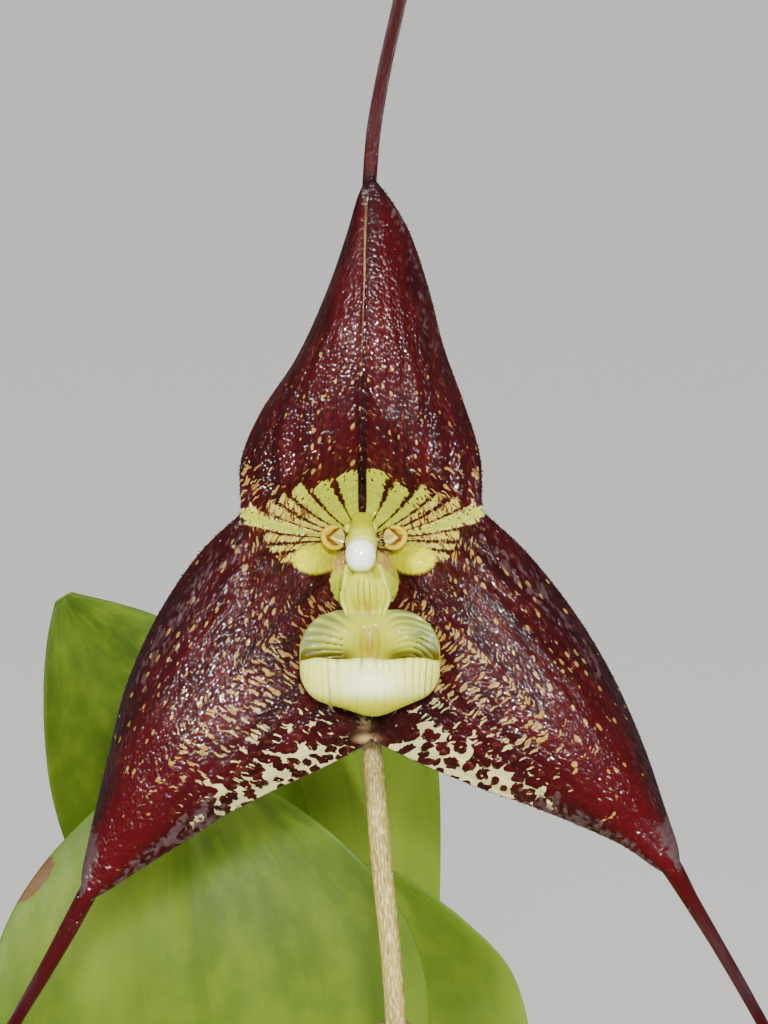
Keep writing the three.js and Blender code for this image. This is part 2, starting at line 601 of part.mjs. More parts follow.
// Pedicel, with the ribbed ovary at its upper end, behind the flower.
function pedicelAndOvary() {
  return stem({
    path: curve(PEDICEL_POINTS),
    radius: (s, angle) => {
      const ovary = 1 - smoothstep(s, 0.08, 0.2);
      return mix(PEDICEL_RADIUS, 1.5, ovary) + 0.12 * ovary * smoothstep(s, 0, 0.04) * Math.cos(6 * angle);
    },
    sides: 12,
    rows: [...steps(0, 0.2, 6), ...steps(0.28, 1, 9)],
  });
}

// Bract: a thin sheath, open along one side, that stands round the foot of the pedicel.
function floralBract() {
  const axis = jointRise();
  const foot = bractJoint().addScaledVector(axis, -0.25 * BRACT_LENGTH);
  const right = new THREE.Vector3(1, 0, 0);
  const front = right.clone().cross(axis).normalize();
  return blade({
    surface: (s, t) => {
      const angle = t * mix(2.5, 0.5, s ** 3);
      const radius = mix(1.7, 2.6, s);
      return foot.clone().addScaledVector(axis, BRACT_LENGTH * s)
        .addScaledVector(right, radius * Math.sin(angle)).addScaledVector(front, -radius * Math.cos(angle));
    },
    half: () => SHELL_HALF,
    sharpness: () => 0.5,
    rows: steps(0, 1, 7),
    columns: 10,
  });
}

// The flower, in its own frame
const flower = new THREE.Group();
flower.position.set(...FLOWER.centre);
flower.rotation.x = Math.PI / 2 - FLOWER.tilt;
flower.updateMatrixWorld(true);
for (const [name, shape] of Object.entries(SEPALS)) flower.add(named(name, sepal(shape), MAROON));
for (const [name, shape] of Object.entries(PETALS)) flower.add(named(name, petal(shape), PETAL));
flower.add(
  named("lip", lip(), LIP_SKIN),
  named("column", column(), COLUMN),
  named("anther_cap", antherCap(), ANTHER),
  named("pedicel_ovary", pedicelAndOvary(), STALK),
  named("floral_bract", floralBract(), BRACT),
);

// Plant and pot
const standing = [...LEAVES.map(({ foot }) => foot), STALK_POINTS[0].slice(0, 2)];
const sockets = standing.map(([x, y]) => {
  const drill = new THREE.CylinderGeometry(SOCKET.radius, SOCKET.radius, SOCKET.height, 12).rotateX(Math.PI / 2);
  return solid(drill.translate(x, y, RHIZOME_HEIGHT + SOCKET.height / 2));
});

const orchid = new THREE.Group();
orchid.add(
  named("pot", clayPot(), CLAY),
  named("potting_medium", mossPlug([rhizome(ROOT_GAP), ...sockets]), MOSS),
  named("rhizome", geometryOf(rhizome(0)), RHIZOME),
  named("peduncle", stalk(flower), STALK),
  flower,
);
LEAVES.forEach((shape, k) => {
  orchid.add(named(`ramicaul_${k + 1}`, ramicaul(shape), SHEATH), named(`leaf_${k + 1}`, leaf(shape), LEAF));
});

export default orchid;
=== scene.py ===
# A potted orchid, Dracula ubangina: its flower close up, its leaves, and its clay pot of moss.
# Shapes are worked out in millimetres and turned into metres where their meshes are made.
import math

import bpy
import numpy as np
from mathutils import Matrix


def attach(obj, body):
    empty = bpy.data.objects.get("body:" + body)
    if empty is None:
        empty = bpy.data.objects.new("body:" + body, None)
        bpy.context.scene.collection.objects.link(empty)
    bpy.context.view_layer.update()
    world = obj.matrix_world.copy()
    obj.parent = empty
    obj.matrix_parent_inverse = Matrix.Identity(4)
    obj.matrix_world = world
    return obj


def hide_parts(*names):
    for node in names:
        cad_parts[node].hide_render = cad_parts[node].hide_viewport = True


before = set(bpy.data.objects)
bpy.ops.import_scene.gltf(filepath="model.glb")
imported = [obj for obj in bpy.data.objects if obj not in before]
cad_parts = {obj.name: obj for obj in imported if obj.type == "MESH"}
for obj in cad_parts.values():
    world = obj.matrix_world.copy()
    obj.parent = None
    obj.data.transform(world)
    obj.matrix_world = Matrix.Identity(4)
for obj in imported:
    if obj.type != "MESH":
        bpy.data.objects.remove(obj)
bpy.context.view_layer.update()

MM = 0.001

# Driving dimensions, as in the part
FLOWER_CENTRE = (-6, -52, 262)
FLOWER_TILT = math.radians(10)
NOTCH = 0.36  # share of a sepal's length that is joined to its neighbours
SEPAL_HALF = 0.3
LEAF_HALF = 0.4
POT_TOP, POT_FOOT, POT_HEIGHT, POT_WALL, POT_FLOOR = 55, 38, 92, 4.5, 6
RIM_HEIGHT, RIM_PROUD = 17, 3
DRAIN_RADIUS, DRAIN_CIRCLE, DRAIN_COUNT = 5, 21, 3
MOSS_TOP, MOSS_DOME = 83, 4
RHIZOME_HEIGHT, RHIZOME_RADIUS = 81.5, 2.2
PEDICEL_RADIUS, STALK_RADIUS = 0.9, 0.95
BRACT_LENGTH = 10.5
GAP = 0.3

# Camera: the flower's plane fills 12 pixels to a millimetre from 280 mm away
CAMERA_DISTANCE = 280
PIXELS_PER_MM = 12
PICTURE = (768, 1024)
FLOWER_PIXEL = (362, 548)
SENSOR = 36

# Lamps: name, place in millimetres, width in metres and power in watts
SOFT_LAMPS = [
    ("left", (-230, -370, 450), 0.04, 1.7),
    ("right", (230, -370, 400), 0.04, 1.2),
]
FRONT_LAMP = ("front", (10, -400, 370), 0.03, 1.9)
# A small lamp above the camera, which only shows as shine
GLINT_RISE, GLINT_SIZE, GLINT_POWER = 30, 0.015, 2.4
HIGH_ELEVATION, HIGH_STRENGTH, HIGH_SPREAD = 55, 2.9, 30
ROOM_STRENGTH = 0.18
FLOOR_SIZE, FLOOR_PLACE = 60, (0, 20, 0)

# How fine the meshes are: rows along a piece, then columns or sides across it
SEPAL_ROWS, TAIL_ROWS, SEPAL_COLUMNS = 171, 130, 64
PETAL_MESH, PAD_MESH, BALL_MESH = (37, 28), (31, 56), (28, 40)
COLUMN_MESH, FOOT_MESH = (90, 64), (30, 32)
POUCH_MESH, BASE_MESH = (131, 150), (71, 56)
PEDICEL_MESH, STALK_MESH, BRACT_MESH = (160, 36), (200, 32), (60, 40)
LEAF_ROWS, LEAF_COLUMNS, LEAF_STEM_MESH = 130, 48, (50, 24)
SHEATH_ROWS, MOUTH_ROWS, SHEATH_SIDES = 22, 5, 36
BED_MESH, STRAND_MESH = (70, 150), (6, 5)
POT_ROWS, BAND_ROWS, INSIDE_ROWS, POT_SIDES = 90, 16, 60, 160


# Small sums

def mix(a, b, share):
    return a + (b - a) * share


def smoothstep(x, low, high):
    share = np.clip((x - low) / (high - low), 0, 1)
    return share * share * (3 - 2 * share)


def fall(x, high, low):
    return 1 - smoothstep(x, high, low)


def plateau(x, start, full, end, gone):
    """Rises from start to full, and falls again from end to gone."""
    return smoothstep(x, start, full) * fall(x, end, gone)


def bell(x, width):
    return np.exp(-((x / width) ** 2))


def unit(v):
    return v / np.linalg.norm(v, axis=-1, keepdims=True)


def along_list(values, share):
    """A list of values, evenly spaced from share 0 to share 1, read between its steps."""
    return np.interp(share, np.linspace(0, 1, len(values)), values)


def curve_point(points, share):
    """A smooth curve through the points, evenly spaced from share 0 to share 1."""
    p = np.asarray(points, float)
    p = np.vstack([2 * p[0] - p[1], p, 2 * p[-1] - p[-2]])
    at = np.clip(share, 0, 1) * (len(p) - 3)
    k = np.minimum(at.astype(int), len(p) - 4)
    w = (at - k)[..., None]
    a, b, c, d = p[k], p[k + 1], p[k + 2], p[k + 3]
    return 0.5 * (2 * b + (c - a) * w + (2 * a - 5 * b + 4 * c - d) * w**2 + (3 * b - a - 3 * c + d) * w**3)


def curve_tangent(points, share):
    step = 1e-4
    ahead, behind = np.minimum(share + step, 1), np.maximum(share - step, 0)
    return unit(curve_point(points, ahead) - curve_point(points, behind))


def curve_steps(points, shares):
    """The lengths of the straight steps between points of a curve."""
    return np.linalg.norm(np.diff(curve_point(points, shares), axis=0), axis=-1)


def round_steps(count):
    """Angles of even steps all the way round."""
    return 2 * np.pi * np.arange(count) / count


def row_shares(rows):
    """Shares along a piece. A plain count gives even ones."""
    return np.linspace(0, 1, rows) if isinstance(rows, int) else rows


# Large odd numbers, which turn the place of a cell's corner into a random code
PLACE_FACTORS, CODE_FACTOR, CODE_LIMIT = (73856093, 19349663, 83492791), 1274126177, 0x7FFFFFFF
SEED_FACTOR = 2654435761


def lumps(points, size, seed=0):
    """Smooth random heights from -1 to 1, with lumps of about this size."""
    cells = points / size
    base = np.floor(cells).astype(np.int64)
    share = smoothstep(cells - base, 0, 1)
    total = 0
    for corner in np.ndindex(2, 2, 2):
        x, y, z = np.moveaxis((base + corner) * PLACE_FACTORS, -1, 0)
        code = x ^ y ^ z ^ (seed * SEED_FACTOR)
        code = ((code ^ (code >> 13)) * CODE_FACTOR) & CODE_LIMIT
        near = np.prod(np.where(corner, share, 1 - share), axis=-1)
        total = total + near * (code / (CODE_LIMIT >> 1) - 1)
    return total


def to_plant(points):
    """From the flower's frame (x right, y up, z towards the viewer) to the part's frame."""
    rise = math.pi / 2 - FLOWER_TILT
    x, y, z = points[..., 0], points[..., 1], points[..., 2]
    turned = [x, y * math.cos(rise) - z * math.sin(rise), y * math.sin(rise) + z * math.cos(rise)]
    return np.stack(turned, -1) + FLOWER_CENTRE


# Meshes

class Shells:
    """Closed shells gathered into one mesh, with marks on their points for the material to read."""

    def __init__(self):
        self.points, self.quads, self.triangles, self.marks = [], [], [], []
        self.count = 0

    def add(self, rings, inside_out=False, **marks):
        """Adds one closed shell. A mark is a number, or a value for each point."""
        rows, around = rings.shape[:2]
        index = self.count + np.arange(rows * around).reshape(rows, around)
        self.count += rows * around
        ring = index[:, ::-1] if inside_out else index
        nxt = np.roll(ring, -1, axis=1)
        self.quads.append(np.stack([ring[:-1], nxt[:-1], nxt[1:], ring[1:]], -1).reshape(-1, 4))
        half = around // 2
        j = np.arange(1, half - 1)
        for end, first in ((index[0], True), (index[-1], False)):
            ladder = np.stack([end[j], end[j + 1], end[around - j - 1], end[around - j]], -1)
            tips = np.array([[end[0], end[1], end[-1]], [end[half - 1], end[half], end[half + 1]]])
            turn = -1 if first != inside_out else 1
            self.quads.append(ladder[:, ::turn])
            self.triangles.append(tips[:, ::turn])
        self.points.append(rings.reshape(-1, 3))
        flat = {}
        for key, value in marks.items():
            value = value if np.ndim(value) else np.full((rows, around), value)
            flat[key] = np.reshape(value, (rows * around,) + np.shape(value)[2:])
        self.marks.append(flat)

    def piece(self, name, material, node, slot):
        """The finished mesh, which stands for a node of the part."""
        mesh = bpy.data.meshes.new(name)
        points = np.concatenate(self.points) * MM
        quads, triangles = np.concatenate(self.quads), np.concatenate(self.triangles)
        corners = np.concatenate([quads.ravel(), triangles.ravel()])
        starts = np.concatenate([4 * np.arange(len(quads)), 4 * len(quads) + 3 * np.arange(len(triangles))])
        mesh.vertices.add(len(points))
        mesh.vertices.foreach_set("co", points.ravel())
        mesh.loops.add(len(corners))
        mesh.loops.foreach_set("vertex_index", corners.astype(np.int32))
        mesh.polygons.add(len(starts))
        mesh.polygons.foreach_set("loop_start", starts.astype(np.int32))
        mesh.polygons.foreach_set("use_smooth", np.ones(len(starts), bool))
        mesh.update(calc_edges=True)
        for key in sorted({key for marks in self.marks for key in marks}):
            flat = key != "lay"
            shapes = [len(p) if flat else (len(p), 3) for p in self.points]
            parts = [marks.get(key, np.zeros(shape)) for marks, shape in zip(self.marks, shapes)]
            values = np.concatenate(parts).astype(np.float32)
            layer = mesh.attributes.new(key, "FLOAT" if flat else "FLOAT_VECTOR", "POINT")
            layer.data.foreach_set("value" if flat else "vector", values.ravel())
        return dress(bpy.data.objects.new(name, mesh), material, node)


def dress(piece, material, node):
    """Gives a finished object its material, and sets it in place of its node."""
    bpy.context.scene.collection.objects.link(piece)
    piece.data.materials.clear()
    piece.data.materials.append(material)
    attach(piece, "root")
    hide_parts(node)
    return piece


def across_steps(columns):
    """Steps across a blade, from its +1 margin over the front to its -1 margin and back behind."""
    angle = np.pi * np.arange(2 * columns) / columns
    return np.cos(angle), np.sin(angle)


def there_and_back(columns):
    """A layer's columns, in the order in which they go round its blade."""
    return np.concatenate([np.arange(columns + 1), np.arange(columns - 1, 0, -1)])


def blade(surface, half, sharpness, rows, columns):
    """A closed thin blade round the layer surface(s, t): its rings, and s, t and face at each point."""
    across, rise = across_steps(columns)
    s, t = np.meshgrid(row_shares(rows), across[: columns + 1], indexing="ij")
    layer = surface(s, t)
    along, over = np.gradient(layer, axis=0), -np.gradient(layer, axis=1)
    normal = unit(np.cross(over, along))
    pick = there_and_back(columns)
    s, t, layer, normal = s[:, pick], t[:, pick], layer[:, pick], normal[:, pick]
    side = np.sign(np.round(rise, 9))
    lift = half(s, t) * np.abs(rise) ** sharpness(s) * side
    return layer + normal * lift[..., None], s, t, np.broadcast_to(side * np.abs(rise) ** 0.5, s.shape)


def stem_on(points, s, angle, radius, side=(1, 0, 0)):
    """Points round a curve, at given shares, angles and distances."""
    centre, tangent = curve_point(points, s), curve_tangent(points, s)
    first = unit(np.cross(np.cross(tangent, side), tangent))
    other = np.cross(tangent, first)
    out = first * np.cos(angle)[..., None] + other * np.sin(angle)[..., None]
    return centre + out * radius[..., None]


def stem(points, radius, rows, sides, side=(1, 0, 0)):
    """A round stem along a curve: its rings, and s and the angle at each point."""
    s, angle = np.meshgrid(row_shares(rows), round_steps(sides), indexing="ij")
    return stem_on(points, s, angle, radius(s, angle), side), s, angle


# Materials

PAPILLA = (0.35, 0.39)  # across and along a sepal: 0.1 mm in life, drawn as small as still shows
FAR_OFF = 9.0  # millimetres, past any vein that a point is near


def colour(code):
    """An sRGB hex colour as linear red, green, blue and 1."""
    parts = [int(code[k:k + 2], 16) / 255 for k in (1, 3, 5)]
    return [p / 12.92 if p <= 0.04045 else ((p + 0.055) / 1.055) ** 2.4 for p in parts] + [1]


def add(tree, kind, settings=None, inputs=None):
    """Adds a node with its settings. An input is a value, or the output socket that is linked to it."""
    made = tree.nodes.new(kind)
    for key, value in (settings or {}).items():
        setattr(made, key, value)
    for key, value in (inputs or {}).items():
        if isinstance(value, bpy.types.NodeSocket):
            tree.links.new(value, made.inputs[key])
        else:
            made.inputs[key].default_value = value
    return made


def new_material(name, **settings):
    """A material whose one shader has these settings, each by the name of its socket."""
    material = bpy.data.materials.new(name)
    material.use_nodes = True
    tree = material.node_tree
    for key, value in settings.items():
        tree.nodes["Principled BSDF"].inputs[key.replace("_", " ")].default_value = value
    return material, tree


def paint(material, **sources):
    """Links sockets of a material's shader, by their names, to what drives them."""
    tree = material.node_tree
    for key, source in sources.items():
        tree.links.new(source, tree.nodes["Principled BSDF"].inputs[key.replace("_", " ")])
    return material


def mark(tree, name, output="Fac"):
    return add(tree, "ShaderNodeAttribute", {"attribute_name": name}).outputs[output]


def blend(tree, share, low, high):
    """Mixes two colours, each a hex code or a socket."""
    low, high = [colour(c) if isinstance(c, str) else c for c in (low, high)]
    return add(tree, "ShaderNodeMix", {"data_type": "RGBA"}, {0: share, 6: low, 7: high}).outputs[2]


def maths(tree, operation, *inputs):
    return add(tree, "ShaderNodeMath", {"operation": operation}, dict(enumerate(inputs))).outputs[0]


def vectors(tree, operation, *inputs):
    return add(tree, "ShaderNodeVectorMath", {"operation": operation}, dict(enumerate(inputs))).outputs[0]


def ramp(tree, value, low, high, first=0.0, last=1.0):
    """Goes smoothly from first to last as a value goes from low to high."""
    inputs = {0: value, 1: low, 2: high, 3: first, 4: last}
    return add(tree, "ShaderNodeMapRange", {"interpolation_type": "SMOOTHSTEP"}, inputs).outputs[0]


def place(tree, size):
    """Where a point is, counted in steps of a size in millimetres: one number, or one for each axis."""
    size = (size,) * 3 if isinstance(size, (int, float)) else size
    where = add(tree, "ShaderNodeTexCoord").outputs["Object"]
    return vectors(tree, "MULTIPLY", where, [1 / (MM * k) for k in size])


def lay(tree, across, along, shift=None):
    """Where a point is on its blade, counted in steps of a size across it and a size along it."""
    where = mark(tree, "lay", "Vector")
    if shift is not None:
        where = vectors(tree, "ADD", where, shift)
    return vectors(tree, "MULTIPLY", where, (1 / across, 1 / along, 1))


def drift(tree, wobble, reach):
    """An uneven shift of a blade's marks, in millimetres."""
    return vectors(tree, "MULTIPLY_ADD", wobble, (reach, reach, 0), (-reach / 2, -reach / 2, 0))


def noise(tree, where, detail, output="Fac"):
    inputs = {"Vector": where, "Scale": 1.0, "Detail": detail}
    return add(tree, "ShaderNodeTexNoise", {}, inputs).outputs[output]


def cells(tree, where, output="Distance", dimensions="3D"):
    """How far a point is from the middle of its cell, or the cell's own random colour."""
    inputs = {"Vector": where, "Scale": 1.0, "Randomness": 1.0}
    return add(tree, "ShaderNodeTexVoronoi", {"voronoi_dimensions": dimensions}, inputs).outputs[output]


def cell_number(tree, where):
    """A random number from 0 to 1 for each cell."""
    return add(tree, "ShaderNodeSeparateColor", {}, {0: cells(tree, where, "Color", "2D")}).outputs[0]


def bump(tree, height, depth, strength=1.0, under=None):
    """Relief of a depth in millimetres, laid over another."""
    inputs = {"Strength": strength, "Distance": depth * MM, "Height": height}
    if under is not None:
        inputs["Normal"] = under
    return add(tree, "ShaderNodeBump", {}, inputs).outputs["Normal"]


def cream_between(tree, where, amount, rough):
    """Cream ground between round maroon blobs, which close up as the amount falls."""
    closing = maths(tree, "MULTIPLY_ADD", rough, -0.25, maths(tree, "MULTIPLY_ADD", amount, -0.62, 1.13))
    apart = maths(tree, "SUBTRACT", cells(tree, where, dimensions="2D"), closing)
    return ramp(tree, apart, -0.03, 0.03)


def spots(tree, where, amount, radius):
    """Round spots of mixed sizes, one to a cell at most, which shrink and thin out as the amount falls."""
    chance = cell_number(tree, where)
    size = ramp(tree, maths(tree, "MULTIPLY_ADD", amount, 0.75, chance), 0.75, 1.7, 0.0, radius)
    return ramp(tree, maths(tree, "SUBTRACT", size, cells(tree, where, dimensions="2D")), -0.02, 0.05)


def cream_marks(tree, fine, streak, wobble):
    """Cream marks: a net by the lower margin, dashes across the sepal, and dots in rows along its veins."""
    net = cream_between(tree, lay(tree, 1.3, 0.85, drift(tree, wobble, 1.1)), mark(tree, "net"), fine)
    dashes = spots(tree, lay(tree, 1.5, 0.37, drift(tree, wobble, 0.9)), mark(tree, "dash"), 0.38)
    rows = maths(tree, "MULTIPLY", mark(tree, "dots"), ramp(tree, streak, 0.42, 0.56, 0.35, 1.0))
    dots = spots(tree, lay(tree, 1.0, 1.1), rows, 0.26)
    dull = blend(tree, fine, "#74481c", "#a8904c")
    cream_colour = blend(tree, ramp(tree, mark(tree, "net"), 0.0, 0.5), dull, "#c2bc80")
    return maths(tree, "MAXIMUM", net, maths(tree, "MAXIMUM", dashes, dots)), cream_colour


def maroon_ground(tree, fine, broad, streak, tint, split):
    """Maroon ground, streaked along its veins, redder to the tip, and dark in the groove and under the lip,
    where the dark is painted shade.
    """
    ground = blend(tree, ramp(tree, broad, 0.35, 0.7), "#230204", "#380408")
    ground = blend(tree, ramp(tree, streak, 0.48, 0.7, 0.0, 0.5), ground, "#4a0509")
    ground = blend(tree, ramp(tree, tint, 0.8, 0.97, 0.0, 0.35), ground, "#5e2c1c")
    ground = blend(tree, mark(tree, "red"), ground, blend(tree, fine, "#300206", "#560409"))
    # Painted shade: the dark mark and the split darken the ground under the lip and in the dorsal's groove
    # and fold; the dark mark also darkens the laterals' outer margins and the dorsal's apex.
    dark = maths(tree, "MAXIMUM", mark(tree, "dark"), split)
    return blend(tree, dark, ground, blend(tree, tint, "#0f0203", "#2b0c0e"))


def sheen_and_tan(tree, skin, fine, tint, across):
    """Lays a painted grey sheen over a sepal's skin in patches, and tan on its worn places and along its
    crest.
    """
    patches = maths(tree, "MULTIPLY_ADD", tint, 0.35, noise(tree, lay(tree, 0.9, 1.1), 4.0))
    # Painted sheen: grey patches that stand for light caught by the papillae.
    grey_sheen = maths(tree, "MULTIPLY_ADD", mark(tree, "bloom"), 0.9, patches)
    skin = blend(tree, ramp(tree, grey_sheen, 1.1, 1.35), skin, blend(tree, fine, "#352022", "#5c4647"))
    tan = maths(tree, "MULTIPLY", mark(tree, "tan"), ramp(tree, patches, 0.45, 0.75))
    fold_line = ramp(tree, maths(tree, "ABSOLUTE", maths(tree, "ADD", across, 0.4)), 0.12, 0.05)
    tan = maths(tree, "MAXIMUM", tan, maths(tree, "MULTIPLY", mark(tree, "crest"), fold_line))
    return blend(tree, tan, skin, blend(tree, fine, "#8a6a44", "#c4ab78"))


def between_veins(tree, off, fine):
    """How far a point is past the edge of the nearest maroon vein, in millimetres."""
    line = maths(tree, "ADD", off, FAR_OFF)
    for share in VEIN_SHARES[1:-1]:
        aside = maths(tree, "ABSOLUTE", maths(tree, "MULTIPLY_ADD", mark(tree, "half"), -share, off))
        line = maths(tree, "MINIMUM", line, aside)
    wide = maths(tree, "MULTIPLY", mark(tree, "vein"), ramp(tree, fine, 0.3, 0.7, 0.4, 1.6))
    return maths(tree, "SUBTRACT", line, wide)


def yellow_rays(tree, skin, fine, tint, off, split, wobble):
    """Lays yellow-green rays over a sepal's skin, between its veins, with a few dark specks."""
    stipple = maths(tree, "MULTIPLY_ADD", tint, 0.3, maths(tree, "MULTIPLY_ADD", fine, 0.9, -0.6))
    rays = ramp(tree, maths(tree, "ADD", stipple, mark(tree, "ray")), 0.4, 0.62)
    rays = maths(tree, "MULTIPLY", rays, ramp(tree, between_veins(tree, off, fine), -0.06, 0.08))
    specks = spots(tree, lay(tree, 0.6, 0.7, drift(tree, wobble, 0.6)), mark(tree, "speck"), 0.2)
    rays = maths(tree, "MULTIPLY", rays, maths(tree, "SUBTRACT", 1.0, maths(tree, "MAXIMUM", specks, split)))
    thread = noise(tree, lay(tree, 0.3, 2.4, drift(tree, wobble, 0.8)), 2.0)
    threads = maths(tree, "MULTIPLY", mark(tree, "thread"), ramp(tree, thread, 0.5, 0.6))
    green = blend(tree, fine, "#8c9412", "#b2b638")
    green = blend(tree, mark(tree, "thread"), green, blend(tree, fine, "#a89a34", "#ccc060"))
    green = blend(tree, threads, green, "#5a3412")
    return blend(tree, rays, skin, green)


def sepal_skin():
    """Sepal skin: grown flesh set close with clear round papillae, which glitter like wet sand."""
    material, tree = new_material(
        "sepal skin, papillose", Roughness=0.6, IOR=1.45, Specular_IOR_Level=0.04,
        Coat_Weight=0.6, Coat_Roughness=0.05, Coat_IOR=1.5,
    )
    wobble = noise(tree, lay(tree, 0.9, 0.9), 2.0, "Color")
    fine = noise(tree, lay(tree, 0.5, 0.5), 3.0)
    broad = noise(tree, lay(tree, 2.6, 5), 2.0)
    streak = noise(tree, lay(tree, 0.55, 12), 2.0)
    papilla = lay(tree, *PAPILLA)
    tint = cell_number(tree, papilla)
    across = add(tree, "ShaderNodeSeparateXYZ", {}, {0: mark(tree, "lay", "Vector")}).outputs[0]
    off = maths(tree, "ABSOLUTE", across)
    # The split marks the dorsal's midline groove: the rays stop there, and the ground there is darkened with
    # painted shade.
    split = ramp(tree, maths(tree, "SUBTRACT", mark(tree, "split"), off), -0.06, 0.06)

    cream, cream_colour = cream_marks(tree, fine, streak, wobble)
    skin = blend(tree, cream, maroon_ground(tree, fine, broad, streak, tint, split), cream_colour)
    skin = sheen_and_tan(tree, skin, fine, tint, across)
    skin = yellow_rays(tree, skin, fine, tint, off, split, wobble)
    cheek = ramp(tree, maths(tree, "MULTIPLY_ADD", fine, 0.5, mark(tree, "cheek")), 0.4, 1.0)
    skin = blend(tree, cheek, skin, blend(tree, fine, "#b8b400", "#d8d404"))
    skin = blend(tree, mark(tree, "blush"), skin, "#b87a5c")
    skin = blend(tree, mark(tree, "tail"), skin, blend(tree, streak, "#2c0103", "#4a0307"))
    back = blend(tree, ramp(tree, broad, 0.3, 0.7), "#43191a", "#6b3f2c")
    skin = blend(tree, mark(tree, "back"), skin, back)

    from_middle = cells(tree, papilla, dimensions="2D")
    round_top = maths(tree, "MULTIPLY", from_middle, maths(tree, "MULTIPLY", from_middle, -1.0))
    domes = maths(tree, "MULTIPLY", round_top, ramp(tree, tint, 0.1, 0.8, 0.45, 1.3))
    uneven = bump(tree, noise(tree, lay(tree, 0.8, 0.8), 2.0), 0.1)
    relief, coat_relief = [bump(tree, domes, depth, 1.0, uneven) for depth in (0.05, 0.12)]
    return paint(material, Base_Color=skin, Normal=relief, Coat_Normal=coat_relief)


def lip_skin():
    """Lip skin: waxy ribbed flesh that lets some light in, yellow down the middle and green in its folds,
    with painted shade in its troughs and at the mouth and a painted highlight in the wall's middle.
    """
    material, tree = new_material(
        "lip flesh, waxy and ribbed", Roughness=0.45, Specular_IOR_Level=0.15,
        Coat_Weight=0.18, Coat_Roughness=0.07,
        Subsurface_Weight=0.15, Subsurface_Radius=(1, 0.8, 0.35), Subsurface_Scale=0.0008,
    )
    fine = noise(tree, place(tree, 0.5), 3.0)
    cloud = noise(tree, place(tree, 1.6), 2.0)
    skin = blend(tree, cloud, "#acb21c", "#c6ca3c")
    skin = blend(tree, mark(tree, "wall"), skin, "#dade64")
    # Green: the lip's own grey-green on its outer parts, deepened with painted shade in the troughs between
    # gills and ribs.
    skin = blend(tree, mark(tree, "green"), skin, "#68723c")
    skin = blend(tree, mark(tree, "yellow"), skin, "#9c9800")
    skin = blend(tree, mark(tree, "streak"), skin, "#8e7000")
    # Fold: painted shade along the mouth, where the back plate meets the wall.
    skin = blend(tree, mark(tree, "fold"), skin, "#544c00")
    # A painted highlight, pale in the middle of the wall.
    skin = blend(tree, maths(tree, "MULTIPLY", mark(tree, "wall"), mark(tree, "middle")), skin, "#f4f6c4")
    return paint(material, Base_Color=skin, Normal=bump(tree, fine, 0.06, 0.6))


def column_skin():
    """Column flesh: smooth, waxy, a little see-through, yellow-green above and flushed pink at its sides."""
    material, tree = new_material(
        "column flesh, waxy", Roughness=0.4, Specular_IOR_Level=0.25, Coat_Weight=0.4, Coat_Roughness=0.06,
        Subsurface_Weight=0.12, Subsurface_Radius=(1, 0.8, 0.35), Subsurface_Scale=0.0006,
    )
    fine = noise(tree, place(tree, 0.6), 2.0)
    skin = blend(tree, fine, "#9c9e00", "#b8b600")
    skin = blend(tree, mark(tree, "pale"), skin, "#c2c640")
    skin = blend(tree, mark(tree, "pink"), skin, "#c9927c")
    return paint(material, Base_Color=skin, Normal=bump(tree, fine, 0.04, 0.5))


def anther_skin():
    """Anther cap: a smooth wet-looking white skin with a faint green edge."""
    material, tree = new_material(
        "anther cap, glossy", Roughness=0.18, IOR=1.42, Coat_Weight=0.6, Coat_Roughness=0.05,
        Subsurface_Weight=0.3, Subsurface_Radius=(1, 0.9, 0.7), Subsurface_Scale=0.001,
    )
    fine = noise(tree, place(tree, 0.7), 2.0)
    skin = blend(tree, mark(tree, "edge"), blend(tree, fine, "#f6f5e4", "#fdfcf4"), "#d9dc9c")
    return paint(material, Base_Color=skin)


def petal_skin():
    """Petal: thick waxy flesh, cream at the rim, with an orange-brown furrow inside, partly its own colour
    and partly painted shade.
    """
    material, tree = new_material(
        "petal flesh, waxy", Roughness=0.5, Specular_IOR_Level=0.15, Coat_Weight=0.12, Coat_Roughness=0.1,
        Subsurface_Weight=0.06, Subsurface_Radius=(1, 0.9, 0.5), Subsurface_Scale=0.0004,
    )
    fine = noise(tree, place(tree, 0.35), 3.0)
    skin = blend(tree, fine, "#a88c00", "#c0a620")
    skin = blend(tree, mark(tree, "pad"), skin, "#9c9030")
    # The furrow's orange-brown is partly the petal's own colour and partly painted shade in the hollow.
    depth = maths(tree, "MULTIPLY", mark(tree, "furrow"), ramp(tree, fine, 0.1, 0.6, 0.75, 1.0))
    skin = blend(tree, ramp(tree, depth, 0.1, 0.7), skin, "#7c4a00")
    return paint(material, Base_Color=skin, Normal=bump(tree, fine, 0.03, 0.6))


